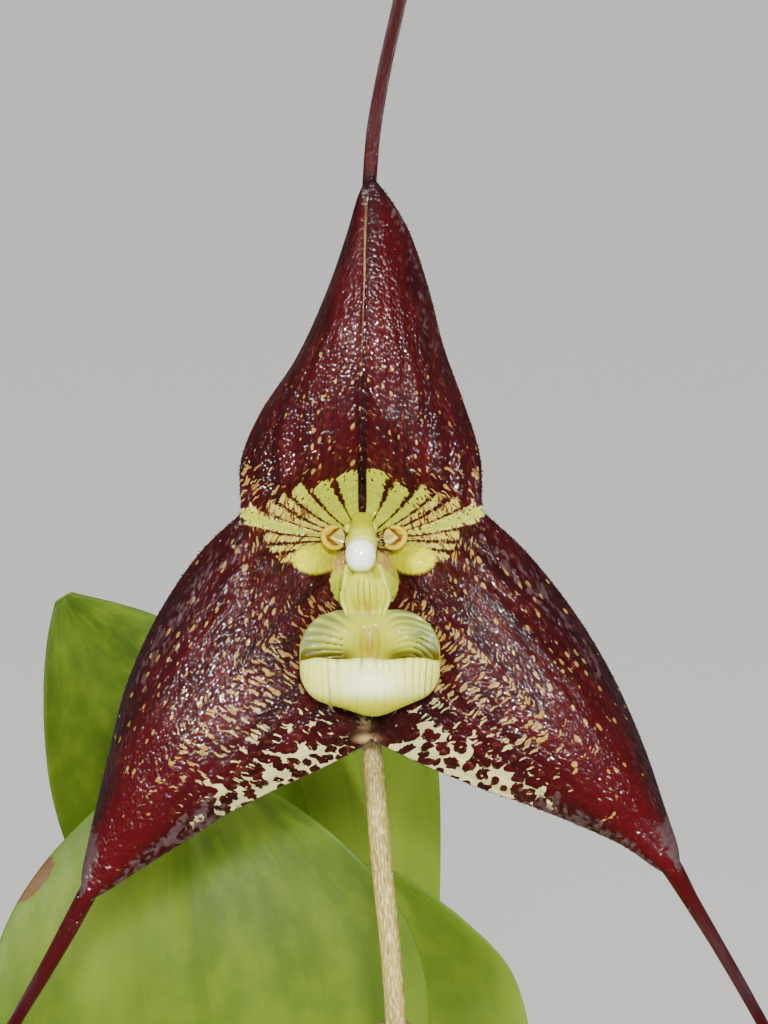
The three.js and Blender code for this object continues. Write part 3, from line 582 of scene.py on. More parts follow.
def leaf_skin():
    """Leaf: leathery, with a waxy skin, faint parallel veins, and paler flesh below and along the keel."""
    material, tree = new_material(
        "leaf, waxy", Roughness=0.45, IOR=1.45, Specular_IOR_Level=0.1,
        Subsurface_Weight=0.12, Subsurface_Radius=(0.5, 1, 0.2), Subsurface_Scale=0.0015,
    )
    broad = noise(tree, lay(tree, 14, 40), 3.0)
    cloud = noise(tree, lay(tree, 3, 5), 4.0)
    vein = noise(tree, lay(tree, 0.7, 60), 2.0)
    # Tone: partly each leaf's real age, from young yellow-green to old dark green, and partly painted light
    # and shade that makes a leaf brighter or darker as a whole.
    young_lit = blend(tree, ramp(tree, broad, 0.3, 0.7), "#6a862a", "#98b040")
    old_shaded = blend(tree, ramp(tree, broad, 0.3, 0.7), "#324810", "#4c6218")
    upper = blend(tree, mark(tree, "age"), young_lit, old_shaded)
    upper = blend(tree, ramp(tree, cloud, 0.35, 0.75, 0.0, 0.3), upper, "#7c8e20")
    upper = blend(tree, ramp(tree, vein, 0.5, 0.75, 0.0, 0.12), upper, "#3f560a")
    upper = blend(tree, maths(tree, "MULTIPLY", mark(tree, "groove"), 0.35), upper, "#3c5610")
    lower = blend(tree, ramp(tree, cloud, 0.3, 0.7), "#63792a", "#7c8e3c")
    lower = blend(tree, mark(tree, "groove"), lower, "#9dab5c")
    skin = blend(tree, mark(tree, "back"), upper, lower)
    worn = maths(tree, "MULTIPLY_ADD", maths(tree, "SUBTRACT", cloud, 0.5), 1.6, mark(tree, "brown"))
    skin = blend(tree, ramp(tree, worn, 0.45, 0.62), skin, blend(tree, cloud, "#38240c", "#6e5024"))
    skin = blend(tree, mark(tree, "petiole"), skin, "#58661f")
    relief = bump(tree, cells(tree, place(tree, 0.5)), 0.03, 0.4, bump(tree, vein, 0.06, 0.6))
    return paint(material, Base_Color=skin, Normal=relief)


def sheath_skin():
    """Sheath: dead papery skin, drawn into fine ribs, over a green stem."""
    material, tree = new_material("sheath, papery", Roughness=0.68, IOR=1.45)
    rib = noise(tree, lay(tree, 0.28, 9), 2.0)
    cloud = noise(tree, place(tree, 4), 4.0)
    paper = blend(tree, ramp(tree, cloud, 0.3, 0.7), "#7a653b", "#b9a672")
    paper = blend(tree, ramp(tree, rib, 0.5, 0.7, 0.0, 0.6), paper, "#564325")
    paper = blend(tree, mark(tree, "edge"), paper, "#4a3419")
    green = blend(tree, cloud, "#59682a", "#7a8640")
    skin = blend(tree, mark(tree, "paper"), green, paper)
    return paint(material, Base_Color=skin, Normal=bump(tree, rib, 0.15, 0.8))


def stalk_skin():
    """Stalk: green flesh under a tan scurf that breaks into short flecks along it."""
    material, tree = new_material("stalk, scurfy", Roughness=0.55, IOR=1.45)
    fleck = noise(tree, lay(tree, 0.17, 0.5), 3.0)
    cloud = noise(tree, lay(tree, 1.2, 8), 2.0)
    skin = blend(tree, ramp(tree, cloud, 0.3, 0.7), "#8a7838", "#ac974c")
    skin = blend(tree, ramp(tree, fleck, 0.5, 0.64), skin, "#d6c584")
    skin = blend(tree, ramp(tree, fleck, 0.36, 0.3), skin, "#43380f")
    skin = blend(tree, mark(tree, "green"), skin, "#8f9a4e")
    return paint(material, Base_Color=skin, Normal=bump(tree, fleck, 0.14, 0.8))


def bract_skin():
    """Bract: thin dry skin with brown nerves."""
    material, tree = new_material("bract, papery", Roughness=0.6, IOR=1.45)
    nerve = noise(tree, lay(tree, 0.45, 14), 2.0)
    cloud = noise(tree, place(tree, 2.5), 4.0)
    skin = blend(tree, ramp(tree, cloud, 0.3, 0.7), "#a8925c", "#cbb985")
    skin = blend(tree, ramp(tree, nerve, 0.52, 0.68, 0.0, 0.7), skin, "#6d5228")
    skin = blend(tree, mark(tree, "edge"), skin, "#59401f")
    return paint(material, Base_Color=skin, Normal=bump(tree, nerve, 0.12, 0.8))


def sphagnum():
    """Sphagnum: dried pale strands with living green ones among them, darkened with painted shade in the
    bed's hollows.
    """
    material, tree = new_material("sphagnum, loose fibre", Roughness=0.85, IOR=1.4, Sheen_Weight=0.2)
    fine = noise(tree, place(tree, 0.6), 4.0)
    tone = maths(tree, "MULTIPLY_ADD", maths(tree, "SUBTRACT", fine, 0.5), 0.5, mark(tree, "tone"))
    dry = blend(tree, ramp(tree, tone, 0.15, 0.75), "#6b5a33", "#c4b57e")
    live = blend(tree, ramp(tree, tone, 0.2, 0.8), "#4c5a22", "#9aa552")
    skin = blend(tree, mark(tree, "live"), dry, live)
    # Painted shade: darker in the bed's hollows, round the stems' feet, down its sides and at the strands'
    # feet.
    skin = blend(tree, mark(tree, "deep"), skin, "#2c2415")
    return paint(material, Base_Color=skin, Normal=bump(tree, cells(tree, place(tree, 0.7)), 0.3, 0.8))


def root_skin():
    """Rhizome and roots: pale corky skin."""
    material, tree = new_material("rhizome, corky", Roughness=0.75, IOR=1.45)
    cloud = noise(tree, place(tree, 2), 4.0)
    skin = blend(tree, cloud, "#a39b6f", "#d8d1ac")
    return paint(material, Base_Color=skin, Normal=bump(tree, cloud, 0.3, 0.7))


def terracotta():
    """Terracotta: thrown and fired clay, matte and gritty, with lime efflorescence where damp has dried out.
    """
    material, tree = new_material("terracotta, fired", Roughness=0.82, IOR=1.5)
    broad = noise(tree, place(tree, (30, 30, 18)), 4.0)
    streak = noise(tree, place(tree, (22, 22, 2.5)), 3.0)
    grit = noise(tree, place(tree, 0.9), 3.0)
    speck = cells(tree, place(tree, 2.4))
    clay = blend(tree, ramp(tree, broad, 0.3, 0.7), "#a4583a", "#c27a55")
    clay = blend(tree, ramp(tree, streak, 0.45, 0.7, 0.0, 0.35), clay, "#8c452c")
    clay = blend(tree, ramp(tree, speck, 0.12, 0.05, 0.0, 0.7), clay, "#6d3824")
    damp = maths(tree, "MULTIPLY_ADD", maths(tree, "SUBTRACT", broad, 0.5), 1.5, mark(tree, "damp"))
    clay = blend(tree, ramp(tree, damp, 0.3, 0.8, 0.0, 0.55), clay, "#7f4a30")
    lime = maths(tree, "MULTIPLY_ADD", maths(tree, "SUBTRACT", grit, 0.5), 1.2, mark(tree, "lime"))
    lime = maths(tree, "MULTIPLY", ramp(tree, lime, 0.35, 0.9), ramp(tree, broad, 0.42, 0.62))
    clay = blend(tree, lime, clay, "#d9cbb8")
    relief = bump(tree, streak, 0.3, 0.5, bump(tree, grit, 0.16, 0.7))
    return paint(material, Base_Color=clay, Normal=relief)


# Flower, in its own frame

SEAMS = {
    "left": [(-1.5, 0.75, -5.6), (-4.4, 1.2, -4.7), (-7.3, 1.9, -3.4), (-10.1, 2.9, -2.4)],
    "right": [(1.5, 0.75, -5.6), (4.4, 1.3, -4.7), (7.3, 2.1, -3.4), (10, 3.1, -2.4)],
    "below": [(0, -1.7, -5.6), (0.1, -5.5, -6.3), (0.3, -10.5, -5.6), (0.7, -14.2, -4.2), (0.9, -16.2, -3.4)],
}

SEPALS = {
    "dorsal_sepal": {
        "spine": [
            (0, 1.9, -5.6), (0, 4.6, -4.2), (0, 8.2, -1.6), (0.05, 12.5, 0.3),
            (0.2, 17.2, 1), (0.3, 22, 0.6), (0.35, 26.6, -0.7), (0.6, 30.6, -2.2),
            (1, 35.4, -3.4), (1.9, 40.6, -4.3), (3.1, 46, -4.6), (4.8, 54, -4),
            (6.6, 63, -2.2), (8, 73, 0.8), (8.6, 84, 5),
        ],
        "seams": ("left", "right"),
        "minus": [(-10.1, 2.9, -2.4), (-10.2, 7.2, -3.7), (-8.6, 11.3, -4.4), (-5.6, 15.8, -4),
                  (-3.2, 20.8, -3.1), (-1.3, 26, -2.6), (0, 30.4, -2.2)],
        "plus": [(10, 3.1, -2.4), (9.9, 7.6, -3.7), (8.6, 12, -4.4), (6.8, 17, -4.3), (5.5, 22, -3.8),
                 (3.7, 27, -3.1), (1.2, 30.8, -2.2)],
        "tail": [0.6, 0.62, 0.58, 0.58, 0.52, 0.46, 0.4, 0.3],
        "groove": 0.5,
    },
    "lateral_sepal_left": {
        "spine": [
            (-1.25, -1.1, -5.6), (-3.6, -3.4, -3.6), (-7.2, -7.2, -0.4), (-11, -11.4, 1.4),
            (-14.7, -16, 2), (-17.9, -20.6, 1.4), (-20.6, -24.9, 0.1), (-22.85, -28.7, -1.4),
            (-24.7, -32.1, -2.3), (-26.9, -36, -2.9), (-29.6, -40.6, -3), (-34, -49, -2.2),
            (-38.6, -58, 0), (-42, -67, 3.4), (-44, -76, 8),
        ],
        "seams": ("below", "left"),
        "minus": [(0.9, -16.2, -3.4), (-2.8, -18.2, -3), (-7, -20.1, -2.3), (-11.4, -22.3, -1.7),
                  (-15.3, -24.8, -1.5), (-19, -27.1, -1.5), (-22.2, -29.2, -1.5)],
        "plus": [(-10.1, 2.9, -2.4), (-13.7, -0.5, -4.1), (-17.2, -5.6, -4.9), (-19.9, -11.6, -4.9),
                 (-21.4, -17.6, -4.2), (-22.6, -23.2, -2.9), (-23.5, -28.2, -1.5)],
        "tail": [0.82, 0.76, 0.64, 0.54, 0.5, 0.46, 0.4, 0.3],
        "groove": 0.14,
        "inner": -1,
    },
    "lateral_sepal_right": {
        "spine": [
            (1.25, -1.1, -5.6), (3.8, -3.4, -3.6), (7.6, -7, -0.4), (11.8, -10.9, 1.4),
            (16, -15, 2), (19.9, -19.2, 1.4), (23.1, -23, 0.1), (25.75, -26.5, -1.4),
            (27.6, -29.6, -2.3), (29.9, -33.4, -2.9), (33, -38.8, -3), (38, -48, -2.2),
            (42.6, -57, 0), (46, -66, 3.4), (48, -75, 8),
        ],
        "seams": ("right", "below"),
        "minus": [(10, 3.1, -2.4), (13.9, -0.5, -4.1), (17.9, -5.5, -4.9), (21.2, -11, -4.9),
                  (23.8, -17, -4.2), (25.5, -22.3, -2.9), (26.6, -26, -1.5)],
        "plus": [(0.9, -16.2, -3.4), (4.7, -18, -3), (9.3, -19.9, -2.3), (14.2, -21.6, -1.7),
                 (18.7, -23.4, -1.5), (22.3, -25.1, -1.5), (24.9, -27, -1.5)],
        "tail": [0.9, 0.68, 0.56, 0.5, 0.48, 0.44, 0.4, 0.3],
        "groove": 0.14,
        "inner": 1,
    },
}
CHEEKS = [(-3.9, -1.1), (4.2, -1.1)]
CROWN = 2.2
LAY_APART = 70  # millimetres from one sepal's pattern to the next one's
VEINS = 6  # raised veins on each side of a sepal's midrib
# The veins between the yellow rays, as shares of the way to a side edge, and how far out each ray ends
VEIN_SHARES = [0, 0.32, 0.54, 0.68, 0.79, 0.9, 1.001]
DORSAL_REACHES = [(5.9, 6.0, 7.2, 7.8, 8.6, 10), (6.1, 5.8, 7, 7.7, 8.8, 10)]
LATERAL_REACHES = (0, 0, 5.8, 7, 8.2, 10)


def sepal_edges(shape, s):
    """The two side edges of a sepal at s: its seams as far as the notch, and its margins from there."""
    edges = []
    for seam, margin in zip(shape["seams"], (shape["minus"], shape["plus"])):
        joined = curve_point(SEAMS[seam], s / NOTCH)
        free = curve_point(margin, (s - NOTCH) / (1 - NOTCH))
        edges.append(np.where((s < NOTCH)[..., None], joined, free))
    return edges


def middle_and_edge(shape, s, t):
    """The sepal's middle line at s, and the side edge there on t's side of it."""
    minus, plus = sepal_edges(shape, np.minimum(s, 1))
    return curve_point(shape["spine"], s / 2), np.where((t < 0)[..., None], minus, plus)


def sepal_layer(shape, s, t):
    """The middle layer of a sepal's blade and of its tail."""
    centre, edge = middle_and_edge(shape, s, t)
    half_width = np.linalg.norm(edge - centre, axis=-1)
    share = np.abs(t)
    point = mix(centre, edge, share[..., None])
    point[..., 2] = mix(centre[..., 2], edge[..., 2], share**CROWN)
    for x, y in CHEEKS:
        point[..., 2] += 1.1 * bell(np.hypot(point[..., 0] - x, point[..., 1] - y), 1.35)
    ridge = np.cos(2 * np.pi * VEINS * share**0.9)
    point[..., 2] += 0.1 * plateau(s, 0.1, 0.3, 0.6, 0.85) * ridge
    groove = bell(share * half_width, 0.34) * plateau(s, 0.1, 0.2, 0.92, 0.99)
    point[..., 2] -= shape["groove"] * groove
    seam_side = np.where(t < 0, shape["seams"][0] != "below", shape["seams"][1] != "below")
    rib = bell((1 - share) * half_width, 0.4) * plateau(s, 0.08, 0.2, NOTCH, NOTCH + 0.06)
    point[..., 2] += 0.35 * rib * seam_side
    uneven = 0.1 * lumps(point, 2.6, 1) + 0.045 * lumps(point, 0.8, 2)
    point[..., 2] += uneven * plateau(s, 0.1, 0.3, 0.86, 0.99)
    tail_across = unit(np.cross(curve_tangent(shape["spine"], s / 2), (0, 0, 1)))
    tail = centre + tail_across * (along_list(shape["tail"], s - 1) * t)[..., None]
    return np.where((s > 1)[..., None], tail, point)


def ray_wedges(share, half_width, reach, reaches):
    """Wedges between veins: they fan out from the column, and each ends in a round tip at its own reach."""
    edges = np.array(VEIN_SHARES)
    wedge = np.clip(np.searchsorted(edges, share, side="right") - 1, 0, len(reaches) - 1)
    low, high, limit = edges[wedge], edges[wedge + 1], np.array(reaches)[wedge]
    half = (high - low) / 2 * half_width
    beyond = np.clip((reach - limit + half) / half, 0, 1)
    from_middle = np.abs(share - (low + high) / 2) * half_width
    tip = smoothstep(half * np.sqrt(1 - beyond**5) - from_middle, -0.12, 0.1)
    return np.where(beyond > 0, tip, 1) * fall(reach, limit - 0.12, limit + 0.08)


def on_tail(s):
    return smoothstep(s, 1.0, 1.05)


def sepal_marks(shape, layer, s, t, face, half_width):
    """Where the sepal's colours lie, each from 0 to 1, with its half width and its veins' in millimetres."""
    x, y = layer[..., 0], layer[..., 1]
    share = np.abs(t)
    reach = np.hypot(x, y - 0.6)
    veins = 0.06 + mix(0.11, 0.025, smoothstep(share, 0.4, 0.65)) * np.clip(reach - 2.8, 0, 5)
    seam = fall((1 - share) * half_width, 0.25, 0.6) * fall(s, NOTCH - 0.02, NOTCH + 0.03)
    marks = {"tail": on_tail(s), "back": (face < -0.25) * (1 - on_tail(s)), "half": half_width, "vein": veins}
    if "inner" in shape:
        return {**marks, **lateral_marks(shape, x, y, s, t, reach, half_width, seam, veins)}
    return {**marks, **dorsal_marks(y, s, t, reach, half_width, seam)}


def lateral_marks(shape, x, y, s, t, reach, half_width, seam, veins):
    """A lateral sepal's marks. Its inner half meets the other lateral, and its outer half the dorsal."""
    inner, share = shape["inner"] * t, np.abs(t)
    outer_half = inner < 0
    wedges = ray_wedges(share, half_width, reach, LATERAL_REACHES)
    strip = fall(np.hypot((x - 0.2) / 3.05, (y + 2.9) / 2.9), 0.88, 1.02)
    cheek_x = 3.9 if shape["inner"] < 0 else 4.2
    cheek = fall(np.hypot((np.abs(x) - cheek_x) / 2.5, (y + 1.0) / 1.6), 0.45, 1)
    field = 0.9 * fall(np.hypot((np.abs(x) - 4) / 4.4, (y - 0.4) / 2.5), 0.7, 1.1)
    plain = np.maximum(cheek, strip)
    # Under the lip: painted shade in the cup below the lip, which also keeps the cream marks out.
    under_lip = bell(np.hypot(x - 0.7, (y + 13.2) * 0.8), 3.4) * smoothstep(inner, 0.2, 0.8)
    lower = smoothstep(inner, 0.15, 0.95) * plateau(s, 0.28, 0.4, 0.6, 0.85)
    middle = 1.1 * smoothstep(inner, -0.3, 0.1) * plateau(s, 0.08, 0.2, 0.55, 0.8)
    middle = middle * (1 - 0.9 * lower) * (1 - 0.8 * under_lip)
    broken = 0.9 * smoothstep(share, 0.45, 0.7) * outer_half * plateau(reach, 4, 6, 8, 12)
    thin = (1 - 0.7 * smoothstep(inner, 0, 0.3)) * (1 - 0.5 * smoothstep(-inner, 0.7, 1))
    # Painted sheen: grey patches along the inner margin, on the outer half and at the tip.
    inner_sheen = 0.62 * smoothstep(inner, 0.3, 0.75) * smoothstep(s, 0.55, 0.7)
    outer_sheen = 0.5 * plateau(-inner, 0.5, 0.75, 0.85, 0.98) * plateau(s, 0.25, 0.4, 0.6, 0.8)
    tip_sheen = smoothstep(-inner, 0.0, 0.4) * smoothstep(s, 0.86, 0.92)
    outer_dark = 0.8 * smoothstep(-inner, 0.6, 0.98) * smoothstep(s, 0.3, 0.6) * (1 - tip_sheen)
    collar = bell(np.hypot((x - 0.3) / 0.8, (y + 16.1) / 0.35), 1)
    collar = collar + 0.8 * bell(np.hypot(x - 0.2, y + 14.6), 0.6)
    return {
        "ray": np.maximum(np.maximum.reduce([seam, wedges, field]) * outer_half, strip),
        "cheek": cheek,
        "vein": mix(veins, -0.1, plain),
        "split": np.full(s.shape, -1.0),
        "speck": 0.3 + 0.9 * smoothstep(-y, 2.2, 4) * strip,
        "thread": (1 - plain) * outer_half * (share < 0.97),
        "blush": 0.7 * bell(np.hypot(np.abs(x) - 1.9, y + 1.3), 0.75),
        "net": lower * (1 - under_lip),
        "dash": np.maximum(middle, broken),
        "dots": plateau(s, 0.14, 0.3, 0.7, 0.88) * thin,
        "bloom": np.maximum.reduce([inner_sheen, outer_sheen, tip_sheen]) * (1 - on_tail(s)),
        # Dark: painted shade under the lip, and a dark strip along the outer margin.
        "dark": np.maximum(0.9 * under_lip, outer_dark),
        "red": 0.9 * smoothstep(s, 0.45, 0.85) * fall(share, 0.35, 0.8),
        "tan": np.clip(collar, 0, 1) * (1 - on_tail(s)),
    }


def dorsal_marks(y, s, t, reach, half_width, seam):
    """The dorsal sepal's marks. Each half has rays of its own reach."""
    share = np.abs(t)
    wedges = [ray_wedges(share, half_width, reach, reaches) for reaches in DORSAL_REACHES]
    low = fall(y, 5.5, 9) * smoothstep(s, 0.16, 0.24)
    columns = bell(share * half_width - 4.6, 1.6) + bell(share * half_width - 0.8, 0.5)
    # A fold to one side of the groove on the upper half, which the dark mark darkens with painted shade.
    fold = bell(t * half_width - 0.5, 0.7) * smoothstep(s, 0.5, 0.8)
    return {
        "ray": np.maximum(seam, np.where(t < 0, *wedges)),
        # Split: the half width in millimetres of the midline groove's dark line, which is painted shade and
        # where the rays stop.
        "split": mix(0.42, 0.66, smoothstep(y, 2, 5)) * mix(1, 0.3, smoothstep(s, 0.28, 0.55)),
        "speck": 0.3 + 1.2 * smoothstep(reach, 4.2, 6),
        "thread": smoothstep(share, 0.58, 0.75) * (share < 0.97),
        "dash": np.maximum(0.95 * low * smoothstep(share, 0.5, 0.75), 0.3 * fall(s, 0.3, 0.5)),
        "dots": (0.45 + 0.75 * np.clip(columns, 0, 1)) * plateau(s, 0.14, 0.24, 0.5, 0.74),
        # Painted sheen: grey on the dorsal's upper right.
        "bloom": 0.45 * smoothstep(t, 0.35, 0.8) * smoothstep(s, 0.5, 0.7) * (1 - on_tail(s)),
        # Dark: painted shade in the fold, and the apex darkened.
        "dark": np.maximum(0.6 * fold, 0.85 * smoothstep(s, 0.9, 0.98)),
        "red": 0.6 * smoothstep(s, 0.35, 0.7) * fall(share, 0.2, 0.75),
        "crest": 0.9 * bell(s - 0.76, 0.12),
    }


BRISTLES, BRISTLE_LENGTH, BRISTLE_RADIUS = 330, 0.26, 0.05


def papillae_along(shells, shape, rng):
    """A fringe of tiny clear bristles along a sepal's free margins."""
    s = np.sort(rng.uniform(NOTCH, 0.98, BRISTLES))
    centre = curve_point(shape["spine"], s / 2)
    taper = lambda s, a: BRISTLE_RADIUS * (1 - 0.8 * s)
    for edge in sepal_edges(shape, s):
        out = unit(edge - centre) + rng.normal(0, 0.35, (BRISTLES, 3))
        tip = edge + unit(out) * (BRISTLE_LENGTH * rng.uniform(0.5, 1.1, BRISTLES))[:, None]
        for foot, point in zip(edge, tip):
            path = [foot - 0.15 * (point - foot), mix(foot, point, 0.5), point]
            rings, _, _ = stem(path, taper, np.array([0, 0.6, 1]), 4, (0.3, 0.4, 1))
            # The bristles are coloured with the painted grey sheen.
            shells.add(to_plant(rings), bloom=0.8)


def make_sepal(name, shape, material, seed):
    """A sepal and its tail in one blade, with a fringe along its free margins."""
    rows = np.concatenate([np.linspace(0, 1, SEPAL_ROWS), np.linspace(1.008, 2, TAIL_ROWS)])
    round_off = smoothstep(rows, 0.84, 1.02)
    thick = mix(SEPAL_HALF, along_list(shape["tail"], np.maximum(rows - 1, 0)), round_off)[:, None]
    margin = mix(0.4, 1.0, round_off)[:, None]
    layer = lambda s, t: sepal_layer(shape, s, t)
    rings, s, t, face = blade(layer, lambda s, t: thick, lambda s: margin, rows, SEPAL_COLUMNS)
    centre, edge = middle_and_edge(shape, s, t)
    half_width = np.linalg.norm(edge - centre, axis=-1)
    along = np.concatenate([[0], np.cumsum(curve_steps(shape["spine"], rows / 2))])[:, None]
    where = np.stack([t * half_width, along + LAY_APART * seed + 0 * s, 0 * s], -1)
    shells = Shells()
    marks = sepal_marks(shape, rings, s, t, face, half_width)
    shells.add(to_plant(rings), inside_out=True, lay=where, **marks)
    papillae_along(shells, shape, np.random.default_rng(seed))
    shells.piece(f"{name}_flesh", material, name, "sepal_maroon")


PETAL_SPINES = {
    "petal_left": [(-1.7, 0.75, -4.05), (-2.2, 0.75, -3.1), (-2.4, 0.85, -2), (-2.4, 0.9, -0.75)],
    "petal_right": [(1.7, 0.75, -4.05), (2.3, 0.75, -3.1), (2.7, 0.85, -2), (2.75, 0.9, -0.75)],
}


def make_petal(name, material):
    """A strap that ends in a thick curled rim, open to the column, round a furrow and a blunt pad."""
    side = -1 if name == "petal_left" else 1
    spine = PETAL_SPINES[name]

    def surface(s, t):
        """Curls round the spine, away from the column, and swells to an uneven rim."""
        centre = curve_point(spine, s)
        angle = mix(0.7, np.where(t < 0, 2.55, 2.0), smoothstep(s, 0.1, 0.7)) * t
        uneven = 1 + (0.05 * np.sin(3 * angle + 1) + 0.22 * smoothstep(-t, 0.7, 1)) * smoothstep(s, 0.5, 0.9)
        reach = mix(0.5, 0.85, smoothstep(s, 0, 0.6)) * uneven * mix(1, 0.93, smoothstep(s, 0.9, 1))
        out = np.stack([side * np.cos(angle), np.sin(angle) * 1.08, 0 * angle], -1)
        lean = np.stack([0 * s, 0 * s, 0.3 * smoothstep(s, 0.6, 1) * (1 - np.cos(angle)) - 0.25], -1)
        return centre + out * reach[..., None] + lean * smoothstep(s, 0.5, 0.9)[..., None]

    shells = Shells()
    rows = row_shares(PETAL_MESH[0])
    thick = mix(0.13, 0.21, smoothstep(rows, 0.55, 0.9))[:, None]
    rings, s, t, face = blade(surface, lambda s, t: thick, lambda s: 0.5, rows, PETAL_MESH[1])
    # Furrow mark: the hollow inside the curl; its orange-brown is partly own colour, partly painted shade.
    inner = (face < -0.2) * bell(s - 0.8, 0.1) * bell(t, 0.75)
    shells.add(to_plant(rings), inside_out=side < 0, furrow=0.8 * inner)

    # Floor of the hollow: the pad, a wedge with its point outwards, between the two arms of the furrow
    u, v = np.meshgrid(row_shares(PAD_MESH[0]), round_steps(PAD_MESH[1]), indexing="ij")
    x, y = 0.84 * u * np.cos(v), 0.9 * u * np.sin(v)
    x = np.where(x < 0, 1.15 * x, x)
    off = np.abs(y + 0.05 + 0.06 * x) - 0.85 * np.clip(0.42 - x, 0, 1)
    arm = bell(off - 0.1, 0.14) * (1 - smoothstep(-x, 0.15, 0.75) * smoothstep(y, -0.2, 0.1))
    pad = fall(off, -0.12, 0.12)
    crease = 0.1 * bell(y - 0.12 - 0.3 * x, 0.1) * smoothstep(-x, -0.1, 0.3)
    rise = 0.36 * pad - 0.3 * arm + 0.25 * u**3 * (x > -0.3) - crease
    top = np.stack([side * x, y, rise], -1) + np.array(spine[-1]) - (0, 0, 0.42)
    under = top.copy()[::-1]
    under[..., 2] = spine[-1][2] - 0.85 - 0.1 * (1 - u[::-1])
    rings = np.concatenate([top, under])
    shells.add(to_plant(rings), inside_out=side > 0, furrow=np.concatenate([arm, 0 * arm]),
               pad=np.concatenate([pad, 0 * pad]))
    shells.piece(f"{name}_flesh", material, name, "petal_cream")


POLE = 0.06  # radians from a ball's lower end to its first ring


def ball(centre, radii):
    """An ellipsoid as rings, from its lower end to its upper end."""
    levels = np.linspace(POLE, np.pi - POLE, BALL_MESH[0])
    rise, turn = np.meshgrid(levels, round_steps(BALL_MESH[1]), indexing="ij")
    point = np.stack([np.sin(rise) * np.cos(turn), np.sin(rise) * np.sin(turn), -np.cos(rise)], -1)
    return point * radii + centre


COLUMN_PATH = [(0, -0.1, -5.9), (0, 0.5, -4.2), (0, 1.8, -1.7), (0, 1.4, 0.4), (0, -0.1, 1.5)]
COLUMN_RADII = [0.95, 0.95, 0.92, 0.9, 1.15, 1.2]
CAP_CENTRE, CAP_RADII = (-0.1, -0.5, 2.1), (1.27, 1.6, 1.3)


def make_column(material):
    """The arched column with its knobbed back, two glassy bumps and two wings beside it, and its foot."""
    shells = Shells()

    def body_radius(s, a):
        """Squarish behind, with a blunt knob on its back and a rim before the cap."""
        on_back = np.abs(np.angle(np.exp(1j * (a - np.pi / 2))))
        knob = 0.3 * fall(on_back, 0.6, 1.05) * plateau(s, 0.3, 0.42, 0.62, 0.74)
        rim = 0.08 * bell(s - 0.92, 0.03)
        square = 1 - 0.07 * np.cos(4 * a) * bell(s - 0.5, 0.2)
        return along_list(COLUMN_RADII, s) * square + knob + rim

    rings, s, _ = stem(COLUMN_PATH, body_radius, *COLUMN_MESH)
    low = smoothstep(-rings[..., 1], -0.6, 0.6)
    shells.add(to_plant(rings), pale=smoothstep(s, 0.8, 0.9), pink=low * fall(s, 0.4, 0.8))
    foot = [(0, 0, -4.6), (0, -1.6, -4), (0, -3.1, -2.9), (0.1, -4, -1.35)]
    foot_radius = lambda s, a: mix(0.75, 0.6, s) * (1 + 0.25 * np.cos(2 * a))
    rings, _, _ = stem(foot, foot_radius, *FOOT_MESH)
    shells.add(to_plant(rings), pink=0.25)
    for side in (-1, 1):
        glassy = ball((side * 1.1 - 0.1, 1.65, -0.9), (0.3, 0.42, 0.5))
        shells.add(to_plant(glassy), pale=1.0)
        wing = ball((side * 0.95 - 0.05, 0.45, 0.1), (0.4, 0.7, 0.75))
        shells.add(to_plant(wing), pale=0.8, pink=0.25)
    shells.piece("column_flesh", material, "column", "column_yellow")


def make_anther_cap(material):
    """The rounded cap on the column's end, flat where it sits, with a thin rolled edge below."""
    seat = unit(np.array([0, -0.8, 0.6]))
    end = np.array(COLUMN_PATH[-1]) + 0.12 * seat
    rings = ball(CAP_CENTRE, CAP_RADII)
    side, low = rings[..., 0] - CAP_CENTRE[0], CAP_CENTRE[1] - rings[..., 1]
    rings[..., 2] -= 0.1 * bell(side, 0.22) * smoothstep(low, 0.2, 1.2)
    blunt = np.maximum(low - 1.35, 0)
    rings[..., 1] += 0.7 * blunt
    behind = np.minimum((rings - end) @ seat, 0)
    rings = rings - behind[..., None] * seat
    edge = np.maximum(bell(behind, 0.05), smoothstep(low, 1.25, 1.5)) * smoothstep(low, 0.7, 1.3)
    shells = Shells()
    shells.add(to_plant(rings), edge=edge)
    shells.piece("anther_cap_skin", material, "anther_cap", "anther_white")


LIP_CENTRE = (0.67, -9, 3.6)
LIP_HALF_WIDTH, CORNER_KEEP = 5.75, 0.12
LOBE_SQUARENESS, CHIN_SQUARENESS = 3.6, 2.1  # of the outline, at the lobes above and the chin below
LIP_RIBS = 46
GILL_TURN = 0.15  # radians from one gill of the back plate to the next
LIP_PROFILE = [(-5.15, 2.2), (-7.5, 2.6), (-9.5, 2.4), (-12, 2.4), (-13.4, 3.4), (-13.2, 4.8), (-11.5, 6),
               (-9.6, 6.2), (-9.15, 5.9)]
LIP_BASE = [(0.1, -2.15, -0.3), (0.25, -3.1, 0.4), (0.3, -4.2, 1.35), (0.3, -5.2, 2.0), (0.3, -6.6, 2.3)]
LIP_BASE_HALF_WIDTHS = [1.4, 1.92, 2.08, 1.72, 1.3]


def lip_keep(s, t):
    """How much of the profile's reach is left at t, from 1 in the middle to the corners."""
    squareness = mix(LOBE_SQUARENESS, CHIN_SQUARENESS, smoothstep(s, 0.25, 0.6))
    return np.maximum(np.clip(1 - np.abs(t) ** squareness, 0, 1) ** 0.42, CORNER_KEEP)


